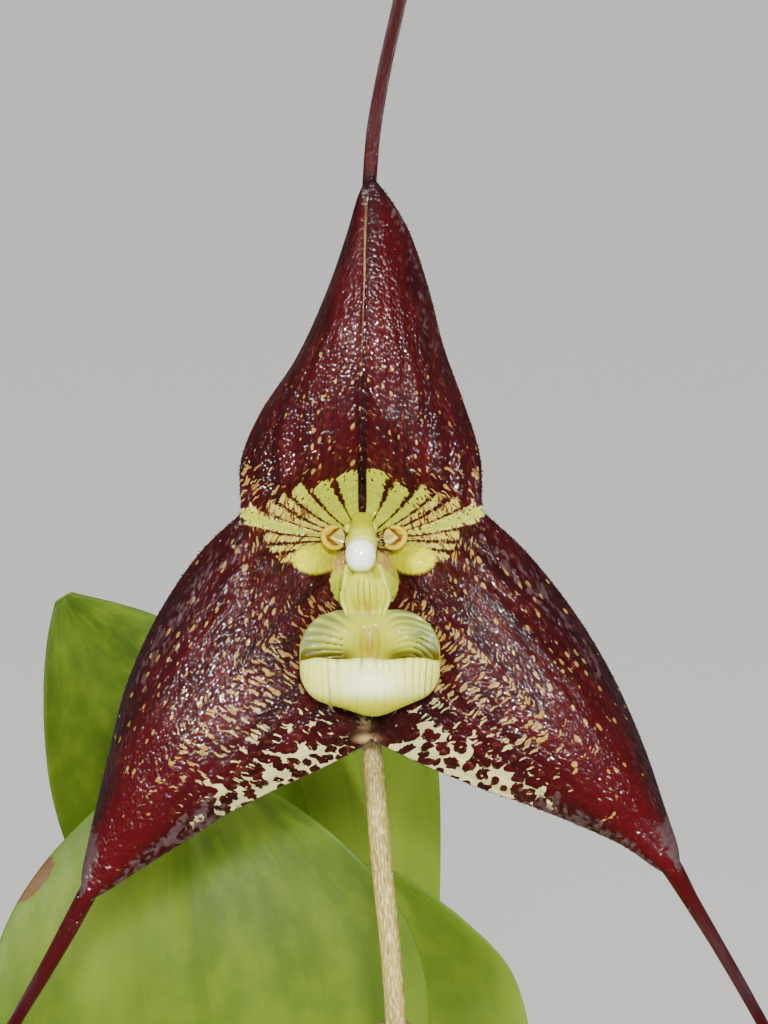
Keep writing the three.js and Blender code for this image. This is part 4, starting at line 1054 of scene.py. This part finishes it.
def pouch_layer(s, t):
    """The lip's pouch, from its back plate round below to its front rim, with ribs and curved gills."""
    keep = lip_keep(s, t)
    profile = curve_point([(LIP_CENTRE[0], y, z) for y, z in LIP_PROFILE], s)
    point = mix(np.array(LIP_CENTRE, float), profile, keep[..., None])
    point[..., 0] += LIP_HALF_WIDTH * t
    low = smoothstep(-point[..., 1], 10, 13)
    beside_chin = plateau(np.abs(t - 0.06), 0.0, 0.45, 0.5, 0.95)
    point[..., 1] += 0.42 * low * beside_chin
    wall = smoothstep(s, 0.42, 0.56)
    strong = 0.6 + 0.5 * lumps(point * (1, 0.2, 0), 1.1, 4)
    point[..., 2] += 0.05 * wall * keep * lip_rib(s, t) * strong
    point[..., 2] += 0.12 * wall * keep * lumps(point * (1, 0.3, 1), 1.6, 9)
    under_base = bell(point[..., 0] - LIP_CENTRE[0] + 0.4, 1.5) * smoothstep(point[..., 1], -6.6, -5.2)
    point[..., 2] -= 0.45 * fall(s, 0.15, 0.3) * under_base
    dx, _, gill = gills(point)
    plate = fall(s, 0.2, 0.3)
    lobe = smoothstep(dx, 1.5, 2.6)
    relief = 0.06 * gill * (0.7 + 0.6 * lumps(point, 1.2, 8)) + 0.08 * lumps(point, 1.3, 7)
    point[..., 2] += plate * lobe * relief * fall(np.abs(t), 0.9, 1)
    point[..., 2] += 0.75 * plate * bell(dx - 2.9, 1.5) * bell(point[..., 1] + 6.9, 1.3)
    point[..., 2] -= 0.3 * plate * bell(dx, 0.9) * smoothstep(-point[..., 1], 5.6, 7)
    point[..., 1] += 0.08 * smoothstep(s, 0.85, 1) * np.cos(9 * t + 0.8) * keep
    point[..., 1] -= 0.35 * smoothstep(s, 0.8, 1) * smoothstep(np.abs(t), 0.75, 1)
    return point


def lip_rib(s, t):
    """Ribs of the pouch's wall, from -1 to 1, not quite even."""
    angle = np.arccos(np.clip(t, -1, 1))
    uneven = 2.2 * np.sin(5 * t + 1) + 1.2 * np.sin(13 * t) + 1.3 * np.sin(9 * s + 7 * t)
    return np.cos(LIP_RIBS * angle + uneven)


def gills(point):
    """Gills of the back plate, which bend down to the mouth, with a point's place among them."""
    dx, dy = np.abs(point[..., 0] - LIP_CENTRE[0]), point[..., 1] + 9.6
    reach, angle = np.hypot(dx, dy), np.arctan2(dy, dx)
    wander = 0.7 * np.sin(0.9 * reach + 0.4 * point[..., 0]) + 0.3 * lumps(point * (1, 1, 0), 2, 6)
    return dx, reach, np.cos(2 * np.pi * (angle / GILL_TURN + 0.95 * reach + wander))


def pouch_marks(layer, s, t, face):
    """Where the pouch's colours lie: on its back plate, which is inside, and on its wall."""
    dx, reach, gill = gills(layer)
    y = layer[..., 1]
    inside = face < 0
    plate = fall(s, 0.2, 0.32) * inside
    wall = smoothstep(s, 0.5, 0.62)
    middle = bell(dx, mix(1.3, 2.0, smoothstep(-y, 7, 9)))
    between = smoothstep(-lip_rib(s, t), 0.2, 0.9) * (0.5 + 0.8 * lumps(layer * (1, 0.25, 0), 0.9, 4))
    edge = smoothstep(np.abs(t), 0.8, 0.98)
    # Green is the plate's own grey-green towards its outer parts and edges, with painted shade added in the
    # troughs between gills and between the wall's ribs.
    among_gills = smoothstep(reach, 2.6, 5.4) * mix(0.45, 0.95, 0.5 - 0.5 * gill)
    green = plate * np.clip(among_gills + 0.45 * edge, 0, 1) * (1 - middle)
    green = green + 0.8 * wall * np.clip(between, 0, 1) + 0.12 * plate * (1 - gill) * smoothstep(dx, 1, 2)
    down_middle = plate * middle * smoothstep(-y, 4.6, 7)
    # Fold: painted shade along the mouth, above the wall's rim.
    fold = smoothstep(-y, 7.9, 8.8) * smoothstep(dx, 0.6, 2.4) + 0.4 * smoothstep(-y, 8.6, 9.6)
    stripes = 0.45 + 0.45 * np.cos(11 * dx + 2 * np.sin(y))
    return {
        "yellow": np.maximum(down_middle, wall * smoothstep(-y, 11.6, 13.3) * 0.75),
        "green": green,
        "fold": inside * fold,
        "wall": wall * fall(-y, 11.4, 13),
        # Middle: a painted highlight in the middle of the wall.
        "middle": bell(dx, 2.4) * bell(y + 11, 1.3),
        "streak": plate * bell(dx, 1.2) * bell(y + 8.2, 1.4) * stripes,
    }


def make_lip(material):
    """The pouch, and the channelled base that carries it."""
    shells = Shells()
    thick = lambda s, t: 0.3 * np.minimum(1, lip_keep(s, t) / 0.35)
    rings, s, t, face = blade(pouch_layer, thick, lambda s: 0.4, *POUCH_MESH)
    shells.add(to_plant(rings), inside_out=True, **pouch_marks(rings, s, t, face))

    def base_layer(s, t):
        """Two horns above, sides that fold up and over, and an end that sinks into the back plate."""
        share = np.abs(t)
        horn = 0.8 * smoothstep(share, 0.55, 1) ** 1.5 * fall(s, 0, 0.25)
        sink = fall(s, 0.72, 0.95)
        point = curve_point(LIP_BASE, s)
        point[..., 0] += curve_point(np.array(LIP_BASE_HALF_WIDTHS)[:, None], s)[..., 0] * t
        point[..., 1] += horn
        fold = (0.12 * bell(share - 0.95, 0.05) - 0.1 * bell(share - 0.85, 0.06)) * smoothstep(s, 0.2, 0.5)
        point[..., 2] += (0.6 * t**2 + fold * (0.8 + 0.3 * np.sin(5 * s + t))) * sink + 0.6 * horn
        point[..., 2] += 0.06 * np.cos(15 * t + 2 * s) * (1 - share) * smoothstep(s, 0.15, 0.4) * sink
        return point

    thick = lambda s, t: mix(0.3, 0.12, smoothstep(s, 0.7, 1))
    rings, s, t, _ = blade(base_layer, thick, lambda s: 0.4, *BASE_MESH)
    share = np.abs(t)
    lines = smoothstep(np.cos(24 * t + 1.5 * np.sin(4 * s)), 0.2, 0.9) * fall(share, 0.3, 0.7)
    shells.add(to_plant(rings), inside_out=True,
               green=0.45 * bell(share - 0.86, 0.07) * smoothstep(s, 0.15, 0.4),
               wall=0.3 * smoothstep(share, 0.92, 0.98) + 0.35 * bell(share, 0.5) * fall(s, 0.3, 0.6),
               streak=0.8 * lines * smoothstep(s, 0.02, 0.3),
               yellow=mix(0.1, 0.9, smoothstep(s, 0.35, 0.75)) * fall(share, 0.5, 0.9))
    shells.piece("lip_flesh", material, "lip", "lip_cream")


PEDICEL_POINTS = [
    (0, -0.1, -6.4), (0, -0.15, -7.6), (0.05, -1.8, -9.3), (0.2, -5.5, -10.3), (0.5, -11, -10.6),
    (0.8, -17.5, -10.8), (1.6, -27, -11.4), (2.75, -39.7, -12.8), (3.1, -50, -14.6),
]
BRACT_JOINT = np.array(PEDICEL_POINTS[-1])
JOINT_RISE = unit(np.array(PEDICEL_POINTS[-2]) - BRACT_JOINT)
STALK_FOOT = (7, -13)


def stem_lay(points, s, a, radius):
    """Millimetres round and along a stem, for its material."""
    length = curve_steps(points, row_shares(200)).sum()
    turn = np.where(a < np.pi, a, 2 * np.pi - a)
    return np.stack([turn * radius, s * length, 0 * s], -1)


def make_pedicel(material):
    """The pedicel, with the ribbed ovary behind the flower."""

    def radius(s, a):
        ovary = fall(s, 0.08, 0.2)
        rib = 0.12 * ovary * smoothstep(s, 0, 0.04) * np.cos(6 * a)
        return mix(PEDICEL_RADIUS, 1.5, ovary) + rib + 0.02 * np.sin(3 * a + 40 * s)

    rings, s, a = stem(PEDICEL_POINTS, radius, *PEDICEL_MESH)
    shells = Shells()
    green = 0.6 * fall(s, 0.1, 0.3)
    shells.add(to_plant(rings), lay=stem_lay(PEDICEL_POINTS, s, a, 1), green=green)
    shells.piece("pedicel_ovary_skin", material, "pedicel_ovary", "stalk")


def make_stalk(material):
    """The flower stalk, with two papery bracts wrapped round it."""
    foot = [(*STALK_FOOT, 84.2), (7, -14, 98), (6.2, -20, 122), (3.8, -31, 150), (0.5, -41, 175)]
    joint = [to_plant(BRACT_JOINT - drop * JOINT_RISE) for drop in (12, GAP)]
    path = foot + [tuple(p) for p in joint]
    shells = Shells()
    rings, s, a = stem(path, lambda s, a: STALK_RADIUS + 0.03 * np.sin(2 * a + 30 * s), *STALK_MESH)
    shells.add(rings, lay=stem_lay(path, s, a, 1), green=0.5 * fall(s, 0.1, 0.5))
    for start, mouth in ((0.0, 0.14), (0.46, 0.56)):
        add_sheath(shells, path, start, mouth, STALK_RADIUS, 0.65, 0.02)
    shells.piece("peduncle_skin", material, "peduncle", "stalk")


def add_sheath(shells, path, start, mouth, core, flare, slant, ribs=11):
    """A thin papery sheath on a stem: it widens upwards, and its open mouth is cut aslant."""
    u = np.concatenate([np.linspace(0, 1, SHEATH_ROWS), np.linspace(0.995, 0.8, MOUTH_ROWS)])
    inner = (np.arange(len(u)) >= SHEATH_ROWS)[:, None]
    share, a = np.meshgrid(u, round_steps(SHEATH_SIDES), indexing="ij")
    s = start + (mouth - start) * share + slant * np.cos(a) * share**2 * (mouth - start)
    s = np.clip(s, 0, 1)
    wall = np.where(inner, -0.2, 0.0)
    radius = core + 0.16 + flare * share**2 + 0.07 * np.cos(ribs * a) * smoothstep(share, 0, 0.2) + wall
    rings = stem_on(path, s, a, np.maximum(radius, core + 0.03))
    edge = np.where(inner, 1.0, smoothstep(share, 0.9, 1.0))
    shells.add(rings, lay=stem_lay(path, s, a, core), paper=1.0, edge=edge)




def make_floral_bract(material):
    """The thin bract that stands round the pedicel's foot, open along one side."""
    foot = BRACT_JOINT - 0.25 * BRACT_LENGTH * JOINT_RISE
    front = unit(np.cross((1, 0, 0), JOINT_RISE))

    def surface(s, t):
        angle = t * mix(2.5, 0.5, s**3)
        radius = mix(1.7, 2.6, s) + 0.05 * np.cos(22 * angle) * smoothstep(s, 0.02, 0.2)
        side = np.stack([radius * np.sin(angle), 0 * s, 0 * s], -1)
        forward = (radius * np.cos(angle))[..., None] * front
        return foot + BRACT_LENGTH * s[..., None] * JOINT_RISE + side - forward

    rings, s, t, _ = blade(surface, lambda s, t: 0.12, lambda s: 0.6, *BRACT_MESH)
    shells = Shells()
    where = np.stack([t * 5, s * BRACT_LENGTH, 0 * s], -1)
    shells.add(to_plant(rings), lay=where, edge=smoothstep(np.maximum(np.abs(t), s), 0.93, 1))
    shells.piece("floral_bract_skin", material, "floral_bract", "bract")


# Leaves and their stems. A leaf's midrib starts at the top of its stem.

# A leaf's tone value in each entry below is partly its age and partly painted light and shade: leaf 1 is made
# darker, and leaf 3, which lies in the flower's shadow, is made brighter.
LEAVES = [
    {"foot": (-13, 9), "facing": (0.05, -1, 0.2), "width": 12.5, "phase": 0.2, "age": 1,
     "midrib": [(-9, 12, 126), (-11.5, 15, 160), (-18, 15, 195), (-26.5, 12, 226), (-37.1, 8, 246.2)]},
    {"foot": (-5, 1), "facing": (0.1, -1, 0.25), "width": 21.6, "phase": 0.6, "age": 0.8,
     "midrib": [(-5, -1, 127), (-11, -3, 158), (-18.5, -8, 188), (-22, -10, 211), (-24.5, -5, 233)]},
    {"foot": (1, 13), "facing": (-0.15, -1, 0.2), "width": 15.5, "phase": 0.1, "age": 0.35,
     "midrib": [(2, 16, 130), (-1, 22, 168), (-9, 25, 206), (-15, 23, 232), (-19, 18, 250)]},
    {"foot": (10, 4), "facing": (-0.1, -1, 0.2), "width": 13, "phase": 0.8, "age": 0.45,
     "midrib": [(12, 5, 126), (9.5, 6, 155), (3, 7, 182), (-3.2, 6, 204), (-5.5, 4, 219)]},
    {"foot": (19, 8), "facing": (-0.75, -0.35, 1), "width": 17, "phase": 0.45, "age": 0.6,
     "midrib": [(26, 9, 122), (40, 11, 150), (61, 13, 171), (85, 13, 180), (106, 11, 172)]},
    {"foot": (17, -6), "facing": (-0.5, 0.2, 1), "width": 16, "phase": 0.3, "age": 0.3,
     "midrib": [(22, -10, 120), (34, -20, 147), (51, -33, 164), (70, -47, 166), (86, -60, 154)]},
    {"foot": (-17, -3), "facing": (0.6, 0.1, 1), "width": 16.5, "phase": 0.9, "age": 0.7,
     "midrib": [(-23, -6, 120), (-38, -10, 147), (-58, -17, 167), (-80, -24, 172), (-99, -31, 160)]},
    {"foot": (-8, 21), "facing": (0.25, -0.8, 1), "width": 17, "phase": 0.55, "age": 0.4,
     "midrib": [(-10, 27, 124), (-15, 42, 158), (-21, 59, 184), (-27, 77, 199), (-31, 94, 201)]},
    {"foot": (13, 20), "facing": (-0.5, -0.6, 1), "width": 16, "phase": 0.15, "age": 0.8,
     "midrib": [(17, 26, 122), (28, 42, 148), (41, 60, 164), (54, 79, 167), (65, 97, 157)]},
    {"foot": (1, -7), "facing": (0.2, 0.6, 1), "width": 15, "phase": 0.7, "age": 0.3,
     "midrib": [(-3, -14, 118), (-10, -29, 138), (-20, -47, 151), (-32, -66, 152), (-44, -84, 141)]},
    {"foot": (-11, 15), "facing": (0.5, -0.2, 1), "width": 16, "phase": 0.35, "age": 0.6,
     "midrib": [(-17, 19, 120), (-31, 28, 148), (-49, 37, 167), (-69, 45, 171), (-88, 52, 160)]},
]
SHEATH_MOUTHS = [0.3, 0.62, 0.93]
STEM_CORE, STEM_OVERLAP = 1.35, 1.0
SPOTTED_LEAF, BROWN_TIP_EVERY = 2, 3


def leaf_spread(s):
    """A leaf's half width at s, as a share of its widest."""
    return np.clip(np.sin(np.pi * s**2.05), 0, 1) ** 0.85


def make_leaf(number, shape, material):
    """A leathery blade on a grooved stalk, with a sunken midrib, its keel below, and raised veins."""
    front = unit(np.array(shape["facing"], float))
    width, phase = shape["width"], shape["phase"]

    def surface(s, t):
        centre = curve_point(shape["midrib"], s)
        along = curve_tangent(shape["midrib"], s)
        across = unit(np.cross(along, front))
        up = np.cross(across, along)
        share = np.abs(t)
        spread = leaf_spread(s)
        petiole = 1.5 * fall(s, 0.12, 0.4)
        reach = np.maximum(np.maximum(width * spread, petiole), 0.35)
        channel = reach * mix(0.75, 0.16, smoothstep(s, 0.05, 0.45)) * share**1.5
        wave = 0.9 * spread * share**3 * np.sin(2 * np.pi * (2.6 * s + phase + 0.2 * np.sign(t)))
        open_blade = smoothstep(s, 0.25, 0.5)
        groove = -0.4 * open_blade * bell(share * reach, 0.8)
        veins = 0.03 * open_blade * np.cos(2 * np.pi * share * reach / 2.3)
        flat = centre + across * (reach * t)[..., None]
        swell = 0.5 * open_blade * lumps(flat, 13, number)
        return flat + up * (channel + wave + groove + veins + swell)[..., None]

    def half(s, t):
        keel = 0.75 * bell(np.abs(t) * width, 0.9) * plateau(s, 0.2, 0.4, 0.8, 1)
        below = np.round(across_steps(LEAF_COLUMNS)[1], 9) < 0
        body = mix(1.15, LEAF_HALF, smoothstep(s, 0.02, 0.3)) * mix(1, 0.75, smoothstep(s, 0.85, 1))
        return body + keel * below

    rows = np.linspace(0.004, 0.992, LEAF_ROWS)
    rounded = lambda s: mix(0.9, 0.5, smoothstep(s, 0.05, 0.3))
    rings, s, t, face = blade(surface, half, rounded, rows, LEAF_COLUMNS)
    length = curve_steps(shape["midrib"], rows).sum()
    across = t * width * np.maximum(leaf_spread(s), 0.1)
    spot = bell(np.hypot(13 * (t + 1), (s - 0.88) * length / 1.6), 1.6) * (number == SPOTTED_LEAF)
    tip = smoothstep(s, 0.97, 0.99) * (number % BROWN_TIP_EVERY == 0)
    shells = Shells()
    shells.add(rings, lay=np.stack([t * width, s * length, np.full(s.shape, 31.0 * number)], -1),
               back=(face < 0) * 1.0, groove=bell(across, 0.7) * smoothstep(s, 0.25, 0.45),
               brown=np.maximum(1.1 * spot, 0.7 * tip) + 0.16 * smoothstep(np.abs(t), 0.93, 1),
               petiole=fall(s, 0.12, 0.36), age=float(shape["age"]))
    shells.piece(f"leaf_{number}_blade", material, f"leaf_{number}", "leaf_green")


def make_leaf_stem(number, shape, material):
    """The stem under a leaf, wrapped in three sheaths. It ends just inside the leaf's stalk."""
    top = np.array(shape["midrib"][0], float)
    end = top + STEM_OVERLAP * unit(np.array(shape["midrib"][1]) - top)
    low = np.array([*shape["foot"], RHIZOME_HEIGHT + RHIZOME_RADIUS + 1.2 * GAP])
    bend = mix(np.array([*shape["foot"], mix(low[2], top[2], 0.4)]), end, 0.25)
    path = [tuple(p) for p in (low, bend, end)]
    shells = Shells()
    rings, s, a = stem(path, lambda s, a: STEM_CORE + 0.04 * np.cos(3 * a), *LEAF_STEM_MESH)
    shells.add(rings, lay=stem_lay(path, s, a, STEM_CORE))
    for start, mouth in zip([0] + SHEATH_MOUTHS, SHEATH_MOUTHS):
        slant = 0.1 * math.sin(2.1 * number + 9 * mouth)
        add_sheath(shells, path, start, mouth, STEM_CORE, 0.72, slant, 13)
    shells.piece(f"ramicaul_{number}_sheaths", material, f"ramicaul_{number}", "sheath")


# Moss and pot

BED_REACH, ROSETTE_REACH = 46, 44
ROSETTES, BRANCHES, LONG_STRANDS = 52, 15, 1500


def pot_outside(z):
    return mix(POT_FOOT, POT_TOP, z / POT_HEIGHT)


def pot_inside(z):
    return pot_outside(z) - POT_WALL


def moss_height(x, y):
    r = np.hypot(x, y) / pot_inside(MOSS_TOP)
    rolls = 1.1 * np.sin(0.23 * x + 1.3) * np.cos(0.21 * y - 0.4) + 0.7 * np.sin(0.41 * y + 0.19 * x)
    return MOSS_TOP + MOSS_DOME * (1 - r**2) + rolls * (1 - np.clip(r, 0, 1) ** 6)


def moss_bed(shells, feet):
    """A lumpy bed that fills the pot, and sinks round each stem's foot."""
    angle = round_steps(BED_MESH[1])
    r, a = np.meshgrid(np.linspace(0.3, BED_REACH, BED_MESH[0]), angle, indexing="ij")
    x, y = r * np.cos(a), r * np.sin(a)
    near = np.min(np.hypot(x[..., None] - feet[:, 0], y[..., None] - feet[:, 1]), axis=-1)
    flat = np.stack([x, y, 0 * x], -1)
    rough = 0.9 * lumps(flat, 3.4, 5) + 0.5 * lumps(flat, 1.5, 6) - 1.0
    top = np.stack([x, y, moss_height(x, y) + rough - 5 * bell(near, 2.6)], -1)
    sides = [(pot_inside(z) - GAP - 0.2, z) for z in (MOSS_TOP - 2, POT_HEIGHT / 2 - 1)]
    sides += [(pot_inside(POT_FLOOR) - GAP - 0.2, POT_FLOOR + GAP), (0.3, POT_FLOOR + GAP)]
    rest = [np.stack([q * np.cos(angle), q * np.sin(angle), 0 * angle + z], -1) for q, z in sides]
    # Painted shade: darker in hollows of the bed and round each stem's foot.
    deep = 0.35 + 0.4 * smoothstep(-rough, 0.6, 1.8) + 0.4 * bell(near, 3.5)
    deep = np.concatenate([deep, np.full((len(sides), len(angle)), 0.5)])
    shells.add(np.concatenate([top, np.array(rest)]), inside_out=True, tone=0.4, deep=deep)


def add_strand(shells, feet, path, thick, tone, live):
    """One strand, left out where it would pass through a stem or the pot."""
    path = np.array(path)
    apart = np.hypot(path[:, None, 0] - feet[:, 0], path[:, None, 1] - feet[:, 1]).min()
    if apart < 2.9 or np.hypot(path[:, 0], path[:, 1]).max() > pot_inside(MOSS_TOP) - 0.6:
        return
    taper = lambda s, a: thick * (1 - 0.75 * s**2) * (1 + 0.25 * np.sin(25 * s))
    rings, s, _ = stem(path, taper, *STRAND_MESH, (0.3, 0.2, 1))
    # Painted shade: darker towards a strand's foot.
    shells.add(rings, tone=tone, live=live, deep=0.35 * (1 - s))


def add_rosette(shells, feet, rng):
    """Short branches that spread from one place."""
    reach, around = ROSETTE_REACH * math.sqrt(rng.uniform()), rng.uniform(0, 2 * math.pi)
    cx, cy = reach * math.cos(around), reach * math.sin(around)
    live, tone = float(rng.uniform() < 0.65), rng.uniform(0.45, 0.9)
    for k in range(BRANCHES):
        turn = 2 * math.pi * k / BRANCHES + rng.normal(0, 0.15)
        length, lift = rng.uniform(3, 5.2), rng.uniform(0.4, 1.6)
        path = []
        for share in (0, 0.4, 0.75, 1):
            px, py = cx + math.cos(turn) * length * share, cy + math.sin(turn) * length * share
            rise = 0.9 * (1 - share) + lift * math.sin(3.1 * share) - 0.3
            path.append((px, py, moss_height(px, py) + rise))
        add_strand(shells, feet, path, rng.uniform(0.4, 0.55), tone + rng.normal(0, 0.06), live)


def add_long_strand(shells, feet, rng):
    """A long bent strand, which rises from the bed and dips back into it."""
    reach = BED_REACH * math.sqrt(rng.uniform())
    around, turn = rng.uniform(0, 2 * math.pi), rng.uniform(0, 2 * math.pi)
    length, bend, lift = rng.uniform(6, 14), rng.normal(0, 0.7), rng.uniform(0.3, 1.5)
    px, py = reach * math.cos(around), reach * math.sin(around)
    path = []
    for share in (0, 0.33, 0.66, 1):
        path.append((px, py, moss_height(px, py) - 1.1 + lift * math.sin(math.pi * share)))
        px += length / 3 * math.cos(turn + bend * share)
        py += length / 3 * math.sin(turn + bend * share)
    thick, tone = rng.uniform(0.22, 0.45), rng.uniform(0.2, 1)
    add_strand(shells, feet, path, thick, tone, float(rng.uniform() < 0.25))


def make_moss(material, rng):
    """Sphagnum that fills the pot: a lumpy bed, rosettes of short branches, and long strands laid over it."""
    feet = np.array([shape["foot"] for shape in LEAVES] + [STALK_FOOT], float)
    shells = Shells()
    moss_bed(shells, feet)
    for _ in range(ROSETTES):
        add_rosette(shells, feet, rng)
    for _ in range(LONG_STRANDS):
        add_long_strand(shells, feet, rng)
    shells.piece("sphagnum_bed", material, "potting_medium", "moss")


def pot_profile():
    """The pot's section, as radii and heights: from the middle of its foot up outside, then down inside."""
    rim_foot = POT_HEIGHT - RIM_HEIGHT
    under_rim, top, mouth = pot_outside(rim_foot), POT_TOP + RIM_PROUD - 0.5, pot_inside(POT_HEIGHT)
    profile = [(0.4, 0.3), (30, 0.3), (32, 0), (POT_FOOT - 1.6, 0), (POT_FOOT - 0.4, 0.5)]
    for z in np.linspace(1.4, rim_foot - 0.6, POT_ROWS):
        profile.append((pot_outside(z) + 0.1 * math.sin(2.1 * z) + 0.06 * math.sin(5.3 * z + 1), z))
    profile += [(under_rim + 1.6, rim_foot - 0.1), (under_rim + RIM_PROUD - 0.5, rim_foot + 0.5)]
    for k in row_shares(BAND_ROWS):
        radius = mix(under_rim, POT_TOP, k) + RIM_PROUD - 0.1 + 0.07 * math.sin(40 * k)
        profile.append((radius, mix(rim_foot + 1.3, POT_HEIGHT - 1.8, k)))
    profile += [(top - 0.1, POT_HEIGHT - 0.9), (top - 0.8, POT_HEIGHT - 0.2), (top - 1.8, POT_HEIGHT)]
    profile += [(mouth + 1.5, POT_HEIGHT), (mouth + 0.4, POT_HEIGHT - 0.5)]
    for z in np.linspace(POT_HEIGHT - 1.6, POT_FLOOR + 1.5, INSIDE_ROWS):
        profile.append((pot_inside(z) + 0.12 * math.sin(1.3 * z), z))
    return profile + [(pot_inside(POT_FLOOR) - 1.5, POT_FLOOR), (0.4, POT_FLOOR)]


def drill_drains(pot):
    """Cuts the drain holes through the pot's floor."""
    drills = []
    for k in range(DRAIN_COUNT):
        turn = 2 * math.pi * (k + 0.25) / DRAIN_COUNT
        centre = (DRAIN_CIRCLE * math.cos(turn) * MM, DRAIN_CIRCLE * math.sin(turn) * MM, POT_FLOOR / 2 * MM)
        bpy.ops.mesh.primitive_cylinder_add(
            vertices=40, radius=DRAIN_RADIUS * MM, depth=3 * POT_FLOOR * MM, location=centre)
        drills.append(bpy.context.object)
        cut = pot.modifiers.new("drain", "BOOLEAN")
        cut.object, cut.operation, cut.solver = drills[-1], "DIFFERENCE", "EXACT"
    bpy.context.view_layer.update()
    pot.data = bpy.data.meshes.new_from_object(pot.evaluated_get(bpy.context.evaluated_depsgraph_get()))
    pot.modifiers.clear()
    for drill in drills:
        bpy.data.objects.remove(drill)


def make_pot(material):
    """The clay pot: thrown, so faint rings run round it, with a rim band, a worn rim and drain holes."""
    angle = round_steps(POT_SIDES)
    radius, z = np.array(pot_profile()).T[..., None] + 0 * angle
    rings = np.stack([radius * np.cos(angle), radius * np.sin(angle), z], -1)
    rings += 0.1 * lumps(rings, 11, 3)[..., None] * unit(rings * (1, 1, 0)) * smoothstep(z, 0, 4)[..., None]
    shells = Shells()
    shells.add(rings)
    drill_drains(shells.piece("thrown_pot", material, "pot", "clay"))


# Studio

def view_frame():
    """The photograph's view: right, up, the way the camera looks, and where it looks, in millimetres."""
    right = np.array([1.0, 0, 0])
    up = np.array([0, math.sin(FLOWER_TILT), math.cos(FLOWER_TILT)])
    look = np.array([0, math.cos(FLOWER_TILT), -math.sin(FLOWER_TILT)])
    aside = (PICTURE[0] / 2 - FLOWER_PIXEL[0]) / PIXELS_PER_MM
    above = (FLOWER_PIXEL[1] - PICTURE[1] / 2) / PIXELS_PER_MM
    target = np.array(FLOWER_CENTRE) + aside * right + above * up
    return right, up, look, target


def set_out(thing, name):
    """An object in the scene for a camera or a lamp."""
    made = bpy.data.objects.new(name, thing)
    bpy.context.scene.collection.objects.link(made)
    return made


def stand(made, right, up, back, place_mm):
    """Turns a camera or a lamp by its three axes, and puts it at a place."""
    axes = np.eye(4)
    axes[:3, 0], axes[:3, 1], axes[:3, 2] = right, up, back
    axes[:3, 3] = np.array(place_mm) * MM
    made.matrix_world = Matrix(axes.tolist())


def set_camera():
    right, up, look, target = view_frame()
    camera = bpy.data.cameras.new("camera")
    camera.sensor_width = SENSOR
    camera.lens = SENSOR * CAMERA_DISTANCE / (PICTURE[1] / PIXELS_PER_MM)
    camera.clip_start = 0.01
    seat = set_out(camera, "camera")
    stand(seat, right, up, -look, target - CAMERA_DISTANCE * look)
    bpy.context.scene.camera = seat


def soft_light(name, place_mm, size, power, diffuse=True, glossy=True):
    """A square lamp that faces the flower."""
    light = bpy.data.lights.new(name, "AREA")
    light.size, light.energy = size, power
    lamp = set_out(light, name)
    lamp.visible_diffuse, lamp.visible_glossy = diffuse, glossy
    _, _, _, target = view_frame()
    away = unit(np.array(place_mm, float) - target)
    side = unit(np.cross((0, 0, 1), away))
    stand(lamp, side, np.cross(away, side), away, place_mm)


def high_light():
    """A wide even light from high behind, which keeps the floor pale far back."""
    sun = bpy.data.lights.new("high", "SUN")
    sun.energy, sun.angle = HIGH_STRENGTH, math.radians(HIGH_SPREAD)
    lamp = set_out(sun, "high")
    lamp.visible_glossy = False
    lamp.rotation_euler = (math.radians(HIGH_ELEVATION - 90), 0, 0)


def set_studio():
    """A plain pale floor, an even pale room, and soft lamps."""
    material, _ = new_material("floor, matt paint", Base_Color=colour("#eceae6"), Roughness=0.9)
    bpy.ops.mesh.primitive_plane_add(size=FLOOR_SIZE, location=FLOOR_PLACE)
    floor = bpy.context.object
    floor.name = "floor"
    floor.data.materials.append(material)
    floor.visible_glossy = False
    world = bpy.data.worlds.new("room")
    bpy.context.scene.world = world
    world.use_nodes = True
    world.node_tree.nodes["Background"].inputs["Color"].default_value = colour("#e9eaec")
    world.node_tree.nodes["Background"].inputs["Strength"].default_value = ROOM_STRENGTH
    high_light()
    for lamp in SOFT_LAMPS:
        soft_light(*lamp)
    soft_light(*FRONT_LAMP, glossy=False)
    _, up, look, target = view_frame()
    glint_place = target - CAMERA_DISTANCE * look + GLINT_RISE * up
    soft_light("glint", glint_place, GLINT_SIZE, GLINT_POWER, diffuse=False)


set_camera()
set_studio()
sepal_material, petal_material = sepal_skin(), petal_skin()
for number, (name, shape) in enumerate(SEPALS.items()):
    make_sepal(name, shape, sepal_material, number + 1)
for name in PETAL_SPINES:
    make_petal(name, petal_material)
make_column(column_skin())
make_anther_cap(anther_skin())
make_lip(lip_skin())
stalk_material, leaf_material, sheath_material = stalk_skin(), leaf_skin(), sheath_skin()
make_pedicel(stalk_material)
make_stalk(stalk_material)
make_floral_bract(bract_skin())
for number, shape in enumerate(LEAVES, 1):
    make_leaf(number, shape, leaf_material)
    make_leaf_stem(number, shape, sheath_material)
make_moss(sphagnum(), np.random.default_rng(11))
make_pot(terracotta())
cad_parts["rhizome"].material_slots[0].material = root_skin()
